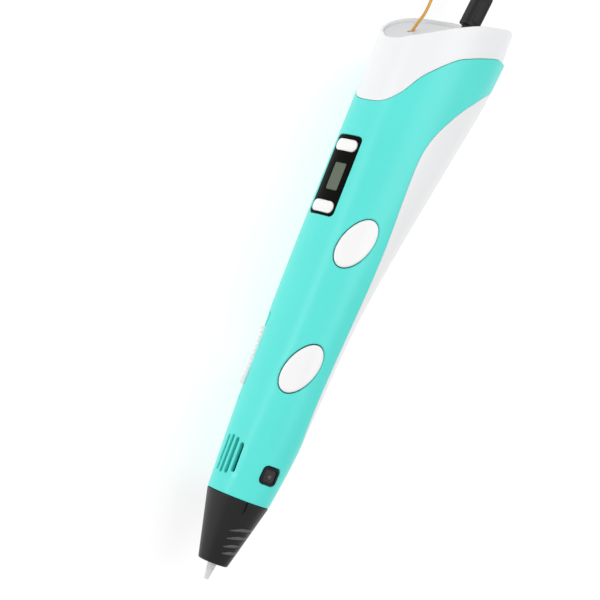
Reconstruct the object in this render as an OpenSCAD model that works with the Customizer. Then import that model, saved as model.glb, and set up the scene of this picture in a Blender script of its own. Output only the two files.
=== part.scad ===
// Filament-extruding drawing pen with display, feed motor and heated nozzle.
// Each module is drawn in the pen's own axes: x towards the display side, y towards
// the side that carries the two oval keys, z from the nozzle tip to the rear.
// lay() turns those axes so that the pen lies along +X with the oval keys facing up.

/* [Body] */
// Length from the nozzle tip to the rear rim
body_len = 184; // [182:0.1:185]
// Wall thickness of the casing shells
wall = 1.6; // [1.2:0.1:2]
// Half width of the casing at its widest, across the keys
half_w = 15.9; // [15:0.1:16.5]
// Gap left along each seam between two shells
seam = 0.12; // [0.08:0.02:0.2]

/* [Nose] */
// Distance from the nozzle tip to the small end of the nose cone
nose_z0 = 5.1; // [4.5:0.1:6]
// Distance from the nozzle tip to the joint between nose and casing
nose_z1 = 25; // [24:0.5:26]
// Radius of the small end of the nose cone
nose_r0 = 4.45; // [4:0.05:5]
// Radius of the large end of the nose cone
nose_r1 = 9.4; // [9:0.1:9.6]

/* [Nozzle and feed] */
// Diameter of the extrusion orifice
orifice_d = 0.7; // [0.5:0.1:0.8]
// Diameter of the filament inlet in the rear cap
inlet_d = 2.4; // [2.2:0.1:3]
// Diameter of the bore in the guide tubes and the heater tube
path_d = 2.1; // [2:0.05:2.3]
// Distance of the inlet from the pen axis, towards the display
inlet_x = 3; // [2:0.5:3.5]

/* [Keys] */
// Length of each oval key
key_l = 16.8; // [15:0.1:18]
// Width of each oval key
key_w = 9.2; // [8:0.1:10]
// Slant of each oval key from the pen axis
key_slant = 21; // [15:1:25]
// Position of the extrude key along the axis
key1_z = 66; // [64:0.5:68]
// Position of the retract key along the axis
key2_z = 105; // [104:0.5:106]
// Height that the keys stand above the casing
key_proud = 0.5; // [0.2:0.1:0.8]
// Direction that the keys face, turned from the display side
key_dir = 57.5; // [56:0.5:59]

/* [Display] */
// Length of the display panel
panel_l = 24.6; // [24:0.1:26]
// Width of the display panel
panel_w = 11.3; // [10:0.1:12]
// Centre of the display panel along the axis
panel_z = 122.1; // [121:0.1:123]
// Sideways offset of the display panel, away from the oval keys
panel_b = -1.2; // [-1.5:0.1:0]
// Sideways offset of the two temperature buttons
temp_b = -0.95; // [-1.2:0.05:0]
// Sideways offset of the window in the display panel
window_b = -0.15; // [-0.5:0.05:0.5]

/* [Speed slider] */
// Centre of the slider along the axis
slider_z = 65; // [64:0.5:66]
// Length of the ribbed thumb plate
slider_l = 18; // [16:0.5:20]
// Travel of the slider each way
slider_travel = 4; // [3:0.5:5]
// Direction that the slider faces, turned from the display side
slider_dir = -36; // [-38:1:-34]

/* [Feed gears] */
// Tooth module of the feed gears
gear_m = 0.4; // [0.4:0.1:0.4]
// Teeth on the drive gear
gear_t1 = 24; // [24:1:24]
// Teeth on the motor pinion
gear_t2 = 12; // [12:1:12]

/* [Hidden] */

// ---- placing and basic shapes ---------------------------------------------
module lay()
  multmatrix([[0, 0, 1, 0], [1, 0, 0, 0], [0, 1, 0, 0], [0, 0, 0, 1]]) children();
// Child's +z points outwards at this angle round the pen, at height z, moved sideways.
// Child's -x then runs towards the rear.
module facing(angle, z, aside = 0)
  translate([0, 0, z]) rotate([0, 0, angle]) translate([0, aside, 0]) rotate([0, 90, 0]) children();
// Child's z runs along the pen's x.
module along_x(at) translate(at) rotate([0, 90, 0]) children();
// Child's z runs along the pen's y, from at = [x, z].
module across(at) translate([at[0], 0, at[1]]) rotate([-90, 0, 0]) children();
// Plate of an outline drawn in [x, z], centred on y = 0.
module side(depth = 80) rotate([90, 0, 0]) linear_extrude(depth, center = true) children();

module box(low, high) translate(low) cube(high - low);
module prism(z0, z1) translate([0, 0, z0]) linear_extrude(z1 - z0) children();
module rod(r, z0, z1, sides = 32) translate([0, 0, z0]) cylinder(r = r, h = z1 - z0, $fn = sides);
module shaft(at, r, y0, y1) across(at) rod(r, y0, y1);
module tube(inner_r, outer_r, z0, z1) difference() {
  rod(outer_r, z0, z1, 48);
  rod(inner_r, z0 - 1, z1 + 1, 48);
}
module rounded(length, width, r) hull()
  for (i = [-1, 1], j = [-1, 1])
    translate([i * (length / 2 - r), j * (width / 2 - r)]) circle(r = r, $fn = 24);
function polar(r, angle) = [r * cos(angle), r * sin(angle)];

// ---- casing surface -------------------------------------------------------
start_z = 25;    // height where the casing section starts to change
start_r = 9.4;   // radius of the casing there
lean_z = 82.8;   // height round which the back starts to lean away
lean_blend = 10.5;
$in_cap = false; // true while the rear cap is drawn

function clamp(value, low, high) = min(high, max(low, value));
// Ramp that rises from 0 with slope 1, its corner eased over the given width.
function soft_ramp(value, width) = width * ln(1 + exp(value / width));
function x_front(z) = start_r + 0.5 * (1 - exp(-max(0, z - start_z) / 25));
// The back leans away at a steady slope that eases off near the rear;
// the rear cap is set in a little and runs parallel to the axis.
function x_back(z) = -(start_r
  + 2.2 * sin(90 * clamp((z - start_z) / 25, 0, 1))
  + 0.245 * (soft_ramp(z - lean_z, lean_blend) - soft_ramp(start_z - lean_z, lean_blend)
    - 0.5 * soft_ramp(z - 160.5, 2)
    - ($in_cap ? 0.6 * soft_ramp(z - 168.5, 1.2) : 0))
  - ($in_cap ? 0.5 : 0));
function x_middle(z) = (x_front(z) + x_back(z)) / 2;
function half_y(z) = half_w - (half_w - start_r) * exp(-max(0, z - start_z) / 60);
// Superellipse exponent of the section, and how much wider it is on the display side.
function squareness(z) = 2 + 0.15 * clamp((z - start_z) / 35, 0, 1);
function taper(z) = 0.12 * clamp((z - 60) / 124, 0, 1);
function signed_power(value, exponent) = sign(value) * pow(abs(value), 2 / exponent);
// A point on the casing surface moved outwards by grow.
function skin(z, angle, grow) =
  let (half_x = (x_front(z) - x_back(z)) / 2 + grow,
       exponent = squareness(z),
       along = signed_power(cos(angle), exponent),
       aside = signed_power(sin(angle), exponent))
  [x_middle(z) + half_x * along, (half_y(z) + grow) * aside * (1 + taper(z) * along), z];
function skin_rings(z0, z1, steps, grow, sides) =
  [for (i = [0:steps], j = [0:sides - 1])
    skin(z0 + (z1 - z0) * i / steps, 360 * j / sides, grow)];

// Faces from the ring at index first to the ring that starts gap points later.
function strip(first, sides, gap) =
  [for (j = [0:sides - 1]) let (a = first + j, b = first + (j + 1) % sides)
    each [[a, a + gap, b], [b, a + gap, b + gap]]];
function bands(first, sides, steps) =
  [for (i = [0:steps - 1]) each strip(first + i * sides, sides, sides)];
function flipped(faces) = [for (face = faces) [face[2], face[1], face[0]]];

// Solid lofted over the casing surface, offset by grow, from z0 to z1.
module loft(z0, z1, steps, grow, sides = 48) {
  rings = skin_rings(z0, z1, steps, grow, sides);
  last = steps * sides;
  centre = len(rings);
  polyhedron(
    points = concat(rings, [[x_middle(z0), 0, z0], [x_middle(z1), 0, z1]]),
    faces = concat(
      bands(0, sides, steps),
      [for (j = [0:sides - 1]) [j, (j + 1) % sides, centre]],
      [for (j = [0:sides - 1]) [last + (j + 1) % sides, last + j, centre + 1]]));
}

// Hollow tube of the casing's wall that follows the casing surface.
module tube_loft(z0, z1, steps) {
  sides = 48;
  outer = skin_rings(z0, z1, steps, 0, sides);
  inner = skin_rings(z0, z1, steps, -wall, sides);
  count = len(outer);
  polyhedron(
    points = concat(outer, inner),
    faces = concat(
      bands(0, sides, steps),
      flipped(bands(count, sides, steps)),
      flipped(strip(0, sides, count)),
      strip(steps * sides, sides, count)));
}

// ---- seams ----------------------------------------------------------------
// Each table lists [x, z] points of a line seen from the side.
// Upper seam, from the display side to the back.
upper_seam = [
  [13, 145.4], [9.5, 146], [6.7, 150.4], [3.1, 157.7], [-3.7, 165], [-9.5, 168.3],
  [-15.8, 170.9], [-23.5, 173.1], [-38, 174.2]];
// Lower seam round the back shell, from the rear to the nose end.
lower_seam = [
  [-38, 167.6], [-25.4, 162.9], [-18, 157.2], [-13.4, 152.5], [-9.1, 146.5], [-6.3, 141],
  [-4.8, 134], [-5, 122], [-5.9, 108], [-6.2, 95], [-6, 80], [-5.7, 66], [-5.9, 56],
  [-7.3, 47.6], [-10.4, 42.6], [-16, 40.6]];
// Rear rim, from the display side to the back.
rear_rim = [
  [13, 163], [9.8, 165.6], [8.7, 167.1], [5.3, 170], [0.9, 173.2], [-3.2, 175.6],
  [-7.6, 177.8], [-12.3, 179.6], [-17.2, 181.1], [-21.5, body_len - 1.6],
  [-25, body_len - 1.1], [-28, body_len - 1.3], [-31, body_len - 1.9], [-38, body_len - 3.5]];

// Catmull-Rom curve through a short list of points, four steps to a span.
function spline_point(points, i, t) =
  let (a = points[max(0, i - 1)], b = points[i],
       c = points[i + 1], d = points[min(len(points) - 1, i + 2)])
  0.5 * (2 * b + (c - a) * t + (2 * a - 5 * b + 4 * c - d) * t * t
    + (3 * b - a - 3 * c + d) * t * t * t);
function curve(points) = concat(
  [for (i = [0:len(points) - 2], k = [0:3]) spline_point(points, i, k / 4)],
  [points[len(points) - 1]]);

module back_region(grow)
  side() offset(delta = grow) polygon(concat(curve(lower_seam), [[-40, 40.6], [-40, 167.2]]));
// Everything between a line, raised by rise, and the level end_z.
module beyond(line, rise, end_z) side() polygon(concat(
  [for (point = curve(line)) point + [0, rise]],
  [[-40, end_z], [40, end_z], [40, line[0][1] + rise]]));
module below(line, rise) beyond(line, rise, 10);
module above(line, rise) beyond(line, rise, 230);

// ---- places shared by the casing and the parts in it ----------------------
screw_z = [48, 79];
screw_pilot_r = 0.82;

latch_dir = 90;
latch_z = 34.2;
vent_z = 36;
vent_aside = 0.6;
vent_pitch = 2.15;
vent_lengths = [10.6, 11.4, 10.8, 8.8];

// Extrude key, then retract key: height, sideways offset, distance of the top from the axis.
key_z = [key1_z, key2_z];
key_aside = [2.03, 3.55];
key_top = [11.75, 12.55];

temp_down_z = 112.3;
temp_up_z = 131.3;
temp_z = [temp_down_z, temp_up_z];
window_z = panel_z - 0.4;
panel_seat = 8.15; // distance of the panel's underside from the axis

slider_aside = -2.47;
slider_seat = 10.45; // distance of the thumb plate's underside from the axis

inlet_z0 = 95.2;

jack_x = -16.6;
jack_z = 178; // height about which the jack and plug are tilted
plug_tilt = 7;

module at_key(i) facing(key_dir, key_z[i], key_aside[i]) children();
module at_slider() facing(slider_dir, slider_z, slider_aside) children();
// Line from the drive up to the inlet in the rear cap.
module along_inlet()
  translate([0, 0, inlet_z0]) rotate([0, atan2(inlet_x, 170 - inlet_z0), 0]) children();
module at_jack()
  translate([jack_x, 0, jack_z]) rotate([0, -plug_tilt, 0]) translate([0, 0, -jack_z]) children();

// Prisms from distance d0 to d1 off the axis, their outlines grown by grow.
module key_prism(i, grow, d0, d1) {
  length = key_l + 2 * grow;
  width = key_w + 2 * grow;
  at_key(i) rotate([0, 0, -key_slant]) prism(d0, d1)
    scale([length / width, 1]) circle(d = width, $fn = 56);
}
module panel_prism(grow, d0, d1)
  facing(0, panel_z, panel_b) prism(d0, d1)
    rounded(panel_l + 2 * grow, panel_w + 2 * grow, 1.3 + grow);
module latch_prism(grow, d0, d1)
  facing(latch_dir, latch_z) prism(d0, d1) rounded(5.2 + 2 * grow, 5.8 + 2 * grow, 1.4);
module vent_slots() for (i = [0:3])
  facing(0, vent_z, (i - 1.5) * vent_pitch + vent_aside) prism(5, 13)
    rounded(vent_lengths[i], 1.2, 0.59);

// ---- casing ---------------------------------------------------------------
module front_shell() color("turquoise") difference() {
  intersection() {
    tube_loft(nose_z1 + seam, 176.5, 26);
    below(upper_seam, -seam / 2);
  }
  back_region(seam / 2);
  vent_slots();
  latch_prism(0.2, 5, 14);
  for (i = [0, 1]) key_prism(i, 0.15, 4, 20);
  panel_prism(0.1, 4, 14);
  // Slot for the slider's neck, and the recess its thumb plate runs in.
  at_slider() prism(0, 16) rounded(2 * slider_travel + 5.2, 2.6, 1.2);
  at_slider() prism(slider_seat - 0.1, slider_seat + 5.9)
    rounded(slider_l + 2 * slider_travel + 1, 5.6, 0.6);
}

module back_shell() color("white") difference() {
  union() {
    intersection() {
      tube_loft(39.5, 168.5, 24);
      back_region(-seam / 2);
    }
    // Screw bosses, kept clear of the lugs inside them.
    for (z = screw_z) intersection() {
      along_x([x_back(z), 0, z]) rod(2.6, 0, wall + 0.35);
      loft(z - 4, z + 4, 2, -0.4);
    }
  }
  // Head recesses and shank holes.
  for (z = screw_z) along_x([x_back(z), 0, z]) {
    rod(1.75, -5, 1.3);
    rod(0.95, 0, 9);
  }
}

module rear_cap() let ($in_cap = true) color("white") difference() {
  union() {
    difference() {
      intersection() {
        loft(144, body_len + 1, 14, 0);
        above(upper_seam, seam / 2);
        below(rear_rim, 0);
      }
      intersection() {
        loft(143, body_len + 2, 14, -wall);
        below(rear_rim, -2.7);
      }
    }
    // Inlet boss.
    intersection() {
      along_inlet() rod(2.2, 70.2, 90.2);
      below(rear_rim, -2);
    }
  }
  // Shallow recess that leaves a raised rim.
  intersection() {
    loft(160, body_len + 2, 8, -1.1);
    above(rear_rim, -1.1);
  }
  along_inlet() rod(inlet_d / 2, 0, 130);
  at_jack() rod(2.1, 150, 190);
  // Pocket that takes the end of the plug.
  at_jack() prism(179.9, 191.9) offset(delta = 0.3) plug_section();
}

// Nose: cone outside, spigot that plugs into the casing inside.
module nose_cone() color([0.12, 0.12, 0.13]) {
  mouth_r = 1.75;
  floor_z = nose_z0 + 1.4;
  spigot_r = 7.7;
  spigot_bore_r = 6.7;
  spigot_end = 43;
  difference() {
    rotate_extrude($fn = 96) polygon([
      [mouth_r, nose_z0], [nose_r0, nose_z0], [nose_r1, nose_z1], [spigot_r, nose_z1],
      [spigot_r, spigot_end], [spigot_bore_r, spigot_end], [spigot_bore_r, nose_z1 + 0.5],
      [nose_r1 - 2.9, nose_z1 - 1.5], [nose_r0 - 1.3, floor_z], [mouth_r, floor_z]]);
    facing(0, vent_z, vent_aside) prism(0, 12) rounded(11.8, 8.4, 1.5);
    latch_prism(0.25, 5, 12);
    // Narrow notches at the joint, one each side.
    for (angle = [90, -90])
      facing(angle, nose_z1 - 1.2) translate([-1.4, -0.35, 8.6]) cube([4, 0.7, 3]);
  }
}

module nose_latch() color([0.1, 0.1, 0.11]) {
  difference() {
    latch_prism(0, 5.7, 10.15);
    facing(latch_dir, latch_z) prism(9.9, 10.9) rounded(3.6, 4.2, 0.8);
  }
  facing(latch_dir, 33.9) rod(0.8, 9.8, 10.3, 24);
}

// ---- hot end --------------------------------------------------------------
path_r = path_d / 2;

module nozzle() color([0.9, 0.9, 0.88]) rotate_extrude($fn = 64) polygon([
  [orifice_d / 2, 0], [0.6, 0], [1.35, 4.6], [1.6, 5.4], [1.6, 12], [2.7, 12], [2.7, 14],
  [path_r, 14], [path_r, 3], [orifice_d / 2, 1.6]]);
module heater_tube() color("silver") tube(path_r, 2, 14.05, 46);
module heater_winding() color([0.72, 0.45, 0.2])
  for (i = [0:9]) translate([0, 0, 16.6 + i * 1.4])
    rotate_extrude($fn = 48) translate([2.55, 0]) circle(r = 0.45, $fn = 20);
module insulation_sleeve() color([0.93, 0.9, 0.8]) tube(3.1, 3.9, 15.4, 31);
module thermistor() color([0.85, 0.6, 0.3]) translate([0, -2.75, 33.5]) {
  sphere(r = 0.7, $fn = 24);
  rod(0.2, 0, 4.5, 16);
}
// Ring round the heater tube, with a lug for the first case screw.
module hotend_holder() color([0.2, 0.2, 0.22]) difference() {
  union() {
    tube(2.05, 6.6, 39.5, 42.5);
    box([-6.1, -2.3, 41], [-5.2, 2.3, 51]);
    box([-9.4, -2.3, 44], [-5.2, 2.3, 51]);
  }
  along_x([-10, 0, screw_z[0]]) rod(screw_pilot_r, 0, 6, 24);
  for (angle = [30:60:330]) rotate([0, 0, angle]) translate([4.4, 0, 0]) rod(0.9, 38, 44, 24);
}
module feed_tube() color("ivory") tube(path_r, 1.5, 46.1, 76.9);
module inlet_tube() color("ivory") along_inlet() tube(1.5, 2, 0, 69.8);

// ---- filament drive -------------------------------------------------------
// Shaft places are [x, z]; the filament runs up the pen axis between wheel and bearing.
filament_r = 0.875;
wheel_r = 4;
wheel_at = [-(wheel_r + filament_r), 86];
bearing_r = 3;
bearing_at = [bearing_r + filament_r, wheel_at[1]];
pivot_at = [4.2, 94];
pinion_dir = 120.4; // direction of the pinion from the drive gear
pinion_at = wheel_at + polar(gear_m * (gear_t1 + gear_t2) / 2, pinion_dir);
shaft_r = 1;
pin_r = 0.74;
gear_y = -7.4;
gear_h = 2.4;
pressure_angle = 25;
// Turn of the pinion that makes a gap face a drive gear tooth. Angles are in the gear
// plane of across(), whose second axis runs towards -z.
mesh_turn =
  let (angle = -pinion_dir, pitch1 = 360 / gear_t1, pitch2 = 360 / gear_t2,
       phase = angle - pitch1 * floor(angle / pitch1))
  (angle + 180) + pitch2 / 2 + phase * gear_t1 / gear_t2;

// Involute tooth flank: half the tooth's angle at radius r.
function involute(angle) = tan(angle) * 180 / PI - angle;
function flank(pitch_r, r, half_tooth) =
  let (base_r = pitch_r * cos(pressure_angle))
  half_tooth + involute(pressure_angle) - involute(acos(min(1, base_r / max(r, base_r))));
module gear(teeth, turn = 0) {
  pitch_r = gear_m * teeth / 2;
  tip_r = pitch_r + 0.8 * gear_m;
  root_r = pitch_r - 1.15 * gear_m;
  flank_r0 = max(root_r, pitch_r * cos(pressure_angle));
  half_tooth = (90 - 8.4) / teeth; // thinned for backlash
  // [radius, half angle] from the root to the tip.
  profile = concat(
    [[root_r, flank(pitch_r, flank_r0, half_tooth)]],
    [for (k = [0:4]) let (r = flank_r0 + (tip_r - flank_r0) * k / 4)
      [r, flank(pitch_r, r, half_tooth)]]);
  linear_extrude(gear_h) rotate(turn) polygon([
    for (i = [0:teeth - 1]) let (middle = 360 * i / teeth) each concat(
      [for (k = [0:5]) polar(profile[k][0], middle - profile[k][1])],
      [for (k = [5:-1:0]) polar(profile[k][0], middle + profile[k][1])])]);
}

module extruder_frame() color([0.25, 0.26, 0.28]) difference() {
  union() {
    for (y = [-3.8, 3.8]) translate([0, y, 0]) side(1.2)
      polygon([[-8.6, 77], [6, 77], [6.4, 97], [-2.2, 97], [-2.2, 90.2], [-8.6, 90.2]]);
    box([-2.1, -3.9, 77], [2.1, 3.9, 81]);
    box([-2.1, -3.9, 91.3], [2.1, 3.9, 95]);
    box([-10.6, -3.9, 77], [-7, 3.9, 81]);
  }
  along_x([-12, 0, screw_z[1]]) rod(screw_pilot_r, 0, 6, 24);
  rod(1.1, 70, 100);
  shaft(wheel_at, shaft_r + 0.05, -6, 6);
  shaft(pivot_at, 0.81, -6, 6);
}
module hobbed_wheel() color([0.75, 0.76, 0.78]) difference() {
  across(wheel_at) prism(-2, 2)
    polygon([for (i = [0:59]) polar(wheel_r - (i % 2 ? 0.05 : 0.3), i * 6)]);
  shaft(wheel_at, shaft_r, -3, 3);
}
module drive_gear() color([0.85, 0.8, 0.6]) {
  across(wheel_at) translate([0, 0, gear_y]) gear(gear_t1);
  shaft(wheel_at, shaft_r, -7, 5);
}
module motor_pinion() color("goldenrod") {
  across(pinion_at) translate([0, 0, gear_y]) gear(gear_t2, mesh_turn);
  shaft(pinion_at, shaft_r, -6, -2.6);
}
module idler_arm() color([0.25, 0.26, 0.28]) difference() {
  union() {
    for (y = [-2.15, 2.15]) translate([0, y, 0]) side(0.8)
      polygon([[2.6, 80], [5.4, 78.4], [5.4, 95.4], [2.9, 95.4], [2.5, 92]]);
    box([4.7, -2.5, 78.4], [5.4, 2.5, 81]);
    box([4.7, -2.5, 90.4], [5.4, 2.5, 92.2]);
  }
  shaft(pivot_at, 0.85, -6, 6);
  shaft(bearing_at, pin_r + 0.01, -6, 6);
}
module idler_bearing() color("silver") difference() {
  shaft(bearing_at, bearing_r, -1.25, 1.25);
  shaft(bearing_at, 0.8, -3, 3);
  // Ring groove in each face.
  for (y = [-1.4, 1.05]) difference() {
    shaft(bearing_at, 2.45, y, y + 0.35);
    shaft(bearing_at, 1.55, y - 1, y + 2);
  }
}
module idler_pins() color("gray") shaft(bearing_at, pin_r, -2.6, 2.6);

// Coil spring wound round x between the casing and the arm.
module idler_spring() color("silver") along_x([5.45, 0, 79.8])
  coil(coil_r = 1.5, wire_r = 0.22, length = 2.6, turns = 3.5);
module coil(coil_r, wire_r, length, turns) {
  turn_steps = 14;
  sides = 8;
  steps = turns * turn_steps;
  points = [for (i = [0:steps], k = [0:sides - 1])
    let (turn = 360 * i / turn_steps,
         z = wire_r + (length - 2 * wire_r) * i / steps,
         section = polar(wire_r, 360 * k / sides))
    [(coil_r + section[0]) * cos(turn), (coil_r + section[0]) * sin(turn), z + section[1]]];
  polyhedron(points = points, faces = concat(
    bands(0, sides, steps),
    [[for (k = [0:sides - 1]) k]],
    [[for (k = [sides - 1:-1:0]) steps * sides + k]]));
}

module gearbox_housing() color([0.8, 0.8, 0.78]) difference() {
  box([-11.7, -4.5, 90.7], [-3.2, 4.5, 102]);
  shaft(pinion_at, shaft_r + 0.05, -6, -2);
}
// Round can with two flats, an end boss and a shaft stub.
module feed_motor() color("silver") {
  motor_x = -8.6;
  intersection() {
    translate([motor_x, 0, 0]) rod(6, 102.05, 122.05, 64);
    box([-20, -5, 100], [0, 5, 126]);
  }
  translate([motor_x, 0, 0]) rod(4.6, 122, 124, 48);
  translate([motor_x, 0, 0]) rod(1, 123, 125, 24);
}

// ---- display and main board -----------------------------------------------
// Opposite corners of each chip on the main board.
chips = [
  [[3.6, 3.2, 128], [4.65, 7.6, 132.4]],
  [[3.4, -7.4, 114], [4.65, -3, 120]],
  [[3.8, 3.6, 114], [4.65, 6.6, 117]],
  [[5.65, -5, 136], [6.8, -1.2, 141]],
  [[5.65, 1, 136], [6.9, 4.6, 140]]];

module main_board() color("darkgreen") difference() {
  box([4.7, -8, 110.4], [5.6, 8, 146]);
  for (z = [112.4, 144], y = [-6.4, 6.4]) along_x([3, y, z]) rod(0.9, 0, 4, 24);
}
module board_chips() color([0.08, 0.08, 0.09]) for (chip = chips) box(chip[0], chip[1]);
module lcd_module() color([0.55, 0.6, 0.55])
  box([5.7, window_b - 3.7, 115.8], [8, window_b + 3.7, 128.4]);
module display_bezel() color([0.05, 0.05, 0.06]) difference() {
  intersection() {
    panel_prism(0, panel_seat, 14);
    loft(panel_z - 14, panel_z + 14, 3, 0.08, 56);
  }
  facing(0, window_z, window_b) prism(4, 16) rounded(8.5, 5.2, 0.4);
  for (z = temp_z) facing(0, z, temp_b) prism(4, 16) rounded(3.9, 9.8, 1.5);
}
module display_window() color([0.42, 0.48, 0.42, 0.6])
  facing(0, window_z, window_b) prism(8.2, 9.6) rounded(8.4, 5.1, 0.35);
module temp_button(z) {
  intersection() {
    facing(0, z, temp_b) prism(panel_seat, panel_seat + 4) rounded(3.7, 9.6, 1.4);
    loft(z - 4, z + 4, 1, 0.4, 56);
  }
  facing(0, z, temp_b) rod(0.7, 6.75, 8.25, 24);
}
module temp_up_button() color("white") temp_button(temp_up_z);
module temp_down_button() color("white") temp_button(temp_down_z);
// Snap-dome switch: a square body with a round well and a domed contact in it.
module dome_switch(width, height, well_r, dome_h) {
  floor_z = height - 1.05 * well_r / 1.4;
  dome_r = 3;
  difference() {
    translate([-width / 2, -width / 2, 0]) cube([width, width, height]);
    rod(well_r, floor_z, floor_z + 3);
  }
  intersection() {
    rod(well_r * 0.8, floor_z - 0.1, floor_z + dome_h);
    translate([0, 0, floor_z + dome_h - dome_r]) sphere(r = dome_r, $fn = 48);
  }
}
module panel_switches() color([0.15, 0.15, 0.16])
  for (z = temp_z) facing(0, z, temp_b) translate([0, 0, 5.65])
    dome_switch(width = 3.2, height = 1.2, well_r = 0.9, dome_h = 0.12);

// ---- oval keys ------------------------------------------------------------
// A domed face that follows the casing, on a stem above the switch.
module key(i) {
  z = key_z[i];
  top = key_top[i];
  base = top - 3.7;
  intersection() {
    key_prism(i, 0, top - 2.5, 20);
    loft(z - 10, z + 10, 4, key_proud, 56);
  }
  key_prism(i, -0.7, base, top - 2.4);
  // Two tabs that keep the key from falling out of its opening.
  for (turn = [0, 180]) at_key(i) rotate([0, 0, turn - key_slant])
    translate([key_l / 2 - 2, -1.5, base]) cube([2.8, 3, 0.6]);
  at_key(i) rod(1.2, 6.85, top - 3.2, 24);
}
module extrude_button() color("white") key(0);
module retract_button() color("white") key(1);
module key_boards() color("darkgreen")
  for (i = [0, 1]) at_key(i) translate([-5, -3.4, 4.1]) cube([10, 6.8, 0.85]);
module key_switches() color([0.15, 0.15, 0.16])
  for (i = [0, 1]) at_key(i) translate([0, 0, 5])
    dome_switch(width = 4.6, height = 2, well_r = 1.4, dome_h = 0.2);

// ---- speed slider ---------------------------------------------------------
module slide_pot() color("silver") at_slider() difference() {
  box([-11, -2.4, 4], [11, 2.4, 7.4]);
  box([-slider_travel - 3.4, -0.9, 5.4], [slider_travel + 3.4, 0.9, 10.4]);
}
// Height of the ribs above the seat at distance u from the middle.
function saddle(u) = 1.1 + 0.55 * pow(2 * u / slider_l, 2);
// Thumb plate with a saddle profile and ribs, on a neck through the casing slot.
module speed_slider() color("white") at_slider() {
  rotate([90, 0, 0]) linear_extrude(5, center = true) polygon(concat(
    [for (i = [-12:12]) let (u = i * slider_l / 24) [u, slider_seat + saddle(u) - 0.45]],
    [[slider_l / 2, slider_seat], [-slider_l / 2, slider_seat]]));
  for (i = [-6:6]) let (u = i * 1.4)
    translate([u - 0.35, -2.5, slider_seat + 0.3]) cube([0.7, 5, saddle(u) - 0.3]);
  box([-1.4, -1.1, 7.9], [1.4, 1.1, slider_seat + 0.5]);
  box([-0.8, -0.7, 5.6], [0.8, 0.7, 8.6]);
}

// ---- power ----------------------------------------------------------------
module power_jack() color([0.1, 0.1, 0.1]) at_jack() difference() {
  box([-3.6, -3.4, 161], [3.4, 3.4, 175.4]);
  rod(1.8, 164, 184);
}
module jack_pin() color("silver") at_jack() rod(0.6, 164.05, 174.05, 24);
module plug_sleeve() color("silver") at_jack() tube(0.68, 1.75, 167, 180);
module plug_section() polygon([
  [-3.1, -1.2], [-2.2, -2.1], [2.2, -2.1], [3.1, -1.2],
  [3.1, 1.2], [2.2, 2.1], [-2.2, 2.1], [-3.1, 1.2]]);
module plug_body() color([0.08, 0.08, 0.08]) at_jack() difference() {
  union() {
    prism(180.2, 192.2) plug_section();
    translate([0, 0, 192.2]) cylinder(r1 = 2.1, r2 = 1.7, h = 8, $fn = 32);
  }
  rod(1.76, 178, 180.1);
  rod(1.3, 192, 202);
}
module power_cable() color([0.08, 0.08, 0.08]) at_jack() rod(1.28, 192.1, 216.1);

// ---- fasteners and wiring -------------------------------------------------
// Screws with a cross recess in the head.
module case_screws() color("silver")
  for (z = screw_z) along_x([x_back(z) + 0.35, 0, z]) difference() {
    union() {
      rod(1.6, 0, 0.94);
      rod(0.8, 0, 5.2);
    }
    for (turn = [0, 90]) rotate([0, 0, turn]) translate([-1, -0.2, -0.1]) cube([2, 0.4, 0.7]);
  }
module heater_wires() color("firebrick")
  for (y = [-3.4, 3.4]) translate([-4, y, 0]) rod(0.4, 43, 76.5, 16);
module motor_wires() color("firebrick")
  for (y = [-6.6, -5.6]) translate([-2.2, y, 0]) rod(0.4, 103, 140, 16);

lay() front_shell();
lay() back_shell();
lay() rear_cap();
lay() nose_cone();
lay() nose_latch();
lay() nozzle();
lay() heater_tube();
lay() heater_winding();
lay() insulation_sleeve();
lay() thermistor();
lay() hotend_holder();
lay() feed_tube();
lay() inlet_tube();
lay() extruder_frame();
lay() hobbed_wheel();
lay() drive_gear();
lay() idler_arm();
lay() idler_bearing();
lay() idler_pins();
lay() idler_spring();
lay() gearbox_housing();
lay() motor_pinion();
lay() feed_motor();
lay() main_board();
lay() board_chips();
lay() lcd_module();
lay() display_bezel();
lay() display_window();
lay() temp_up_button();
lay() temp_down_button();
lay() panel_switches();
lay() extrude_button();
lay() retract_button();
lay() key_boards();
lay() key_switches();
lay() slide_pot();
lay() speed_slider();
lay() power_jack();
lay() jack_pin();
lay() plug_body();
lay() plug_sleeve();
lay() power_cable();
lay() case_screws();
lay() heater_wires();
lay() motor_wires();
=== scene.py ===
"""Looks of a 3D-drawing pen: casing, keys, display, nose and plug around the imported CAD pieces.

The pen lies along X with its tip at the origin. Its parts are laid out in local pen axes, in mm:
x towards the display, y towards the oval keys and z from the tip to the rear. In the frame of
the scene these are Y, Z and X.
"""

import math
import random
from collections import namedtuple

import bmesh
import bpy
import numpy as np
from mathutils import Matrix, Vector
from mathutils.geometry import delaunay_2d_cdt
from mathutils.kdtree import KDTree


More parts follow.
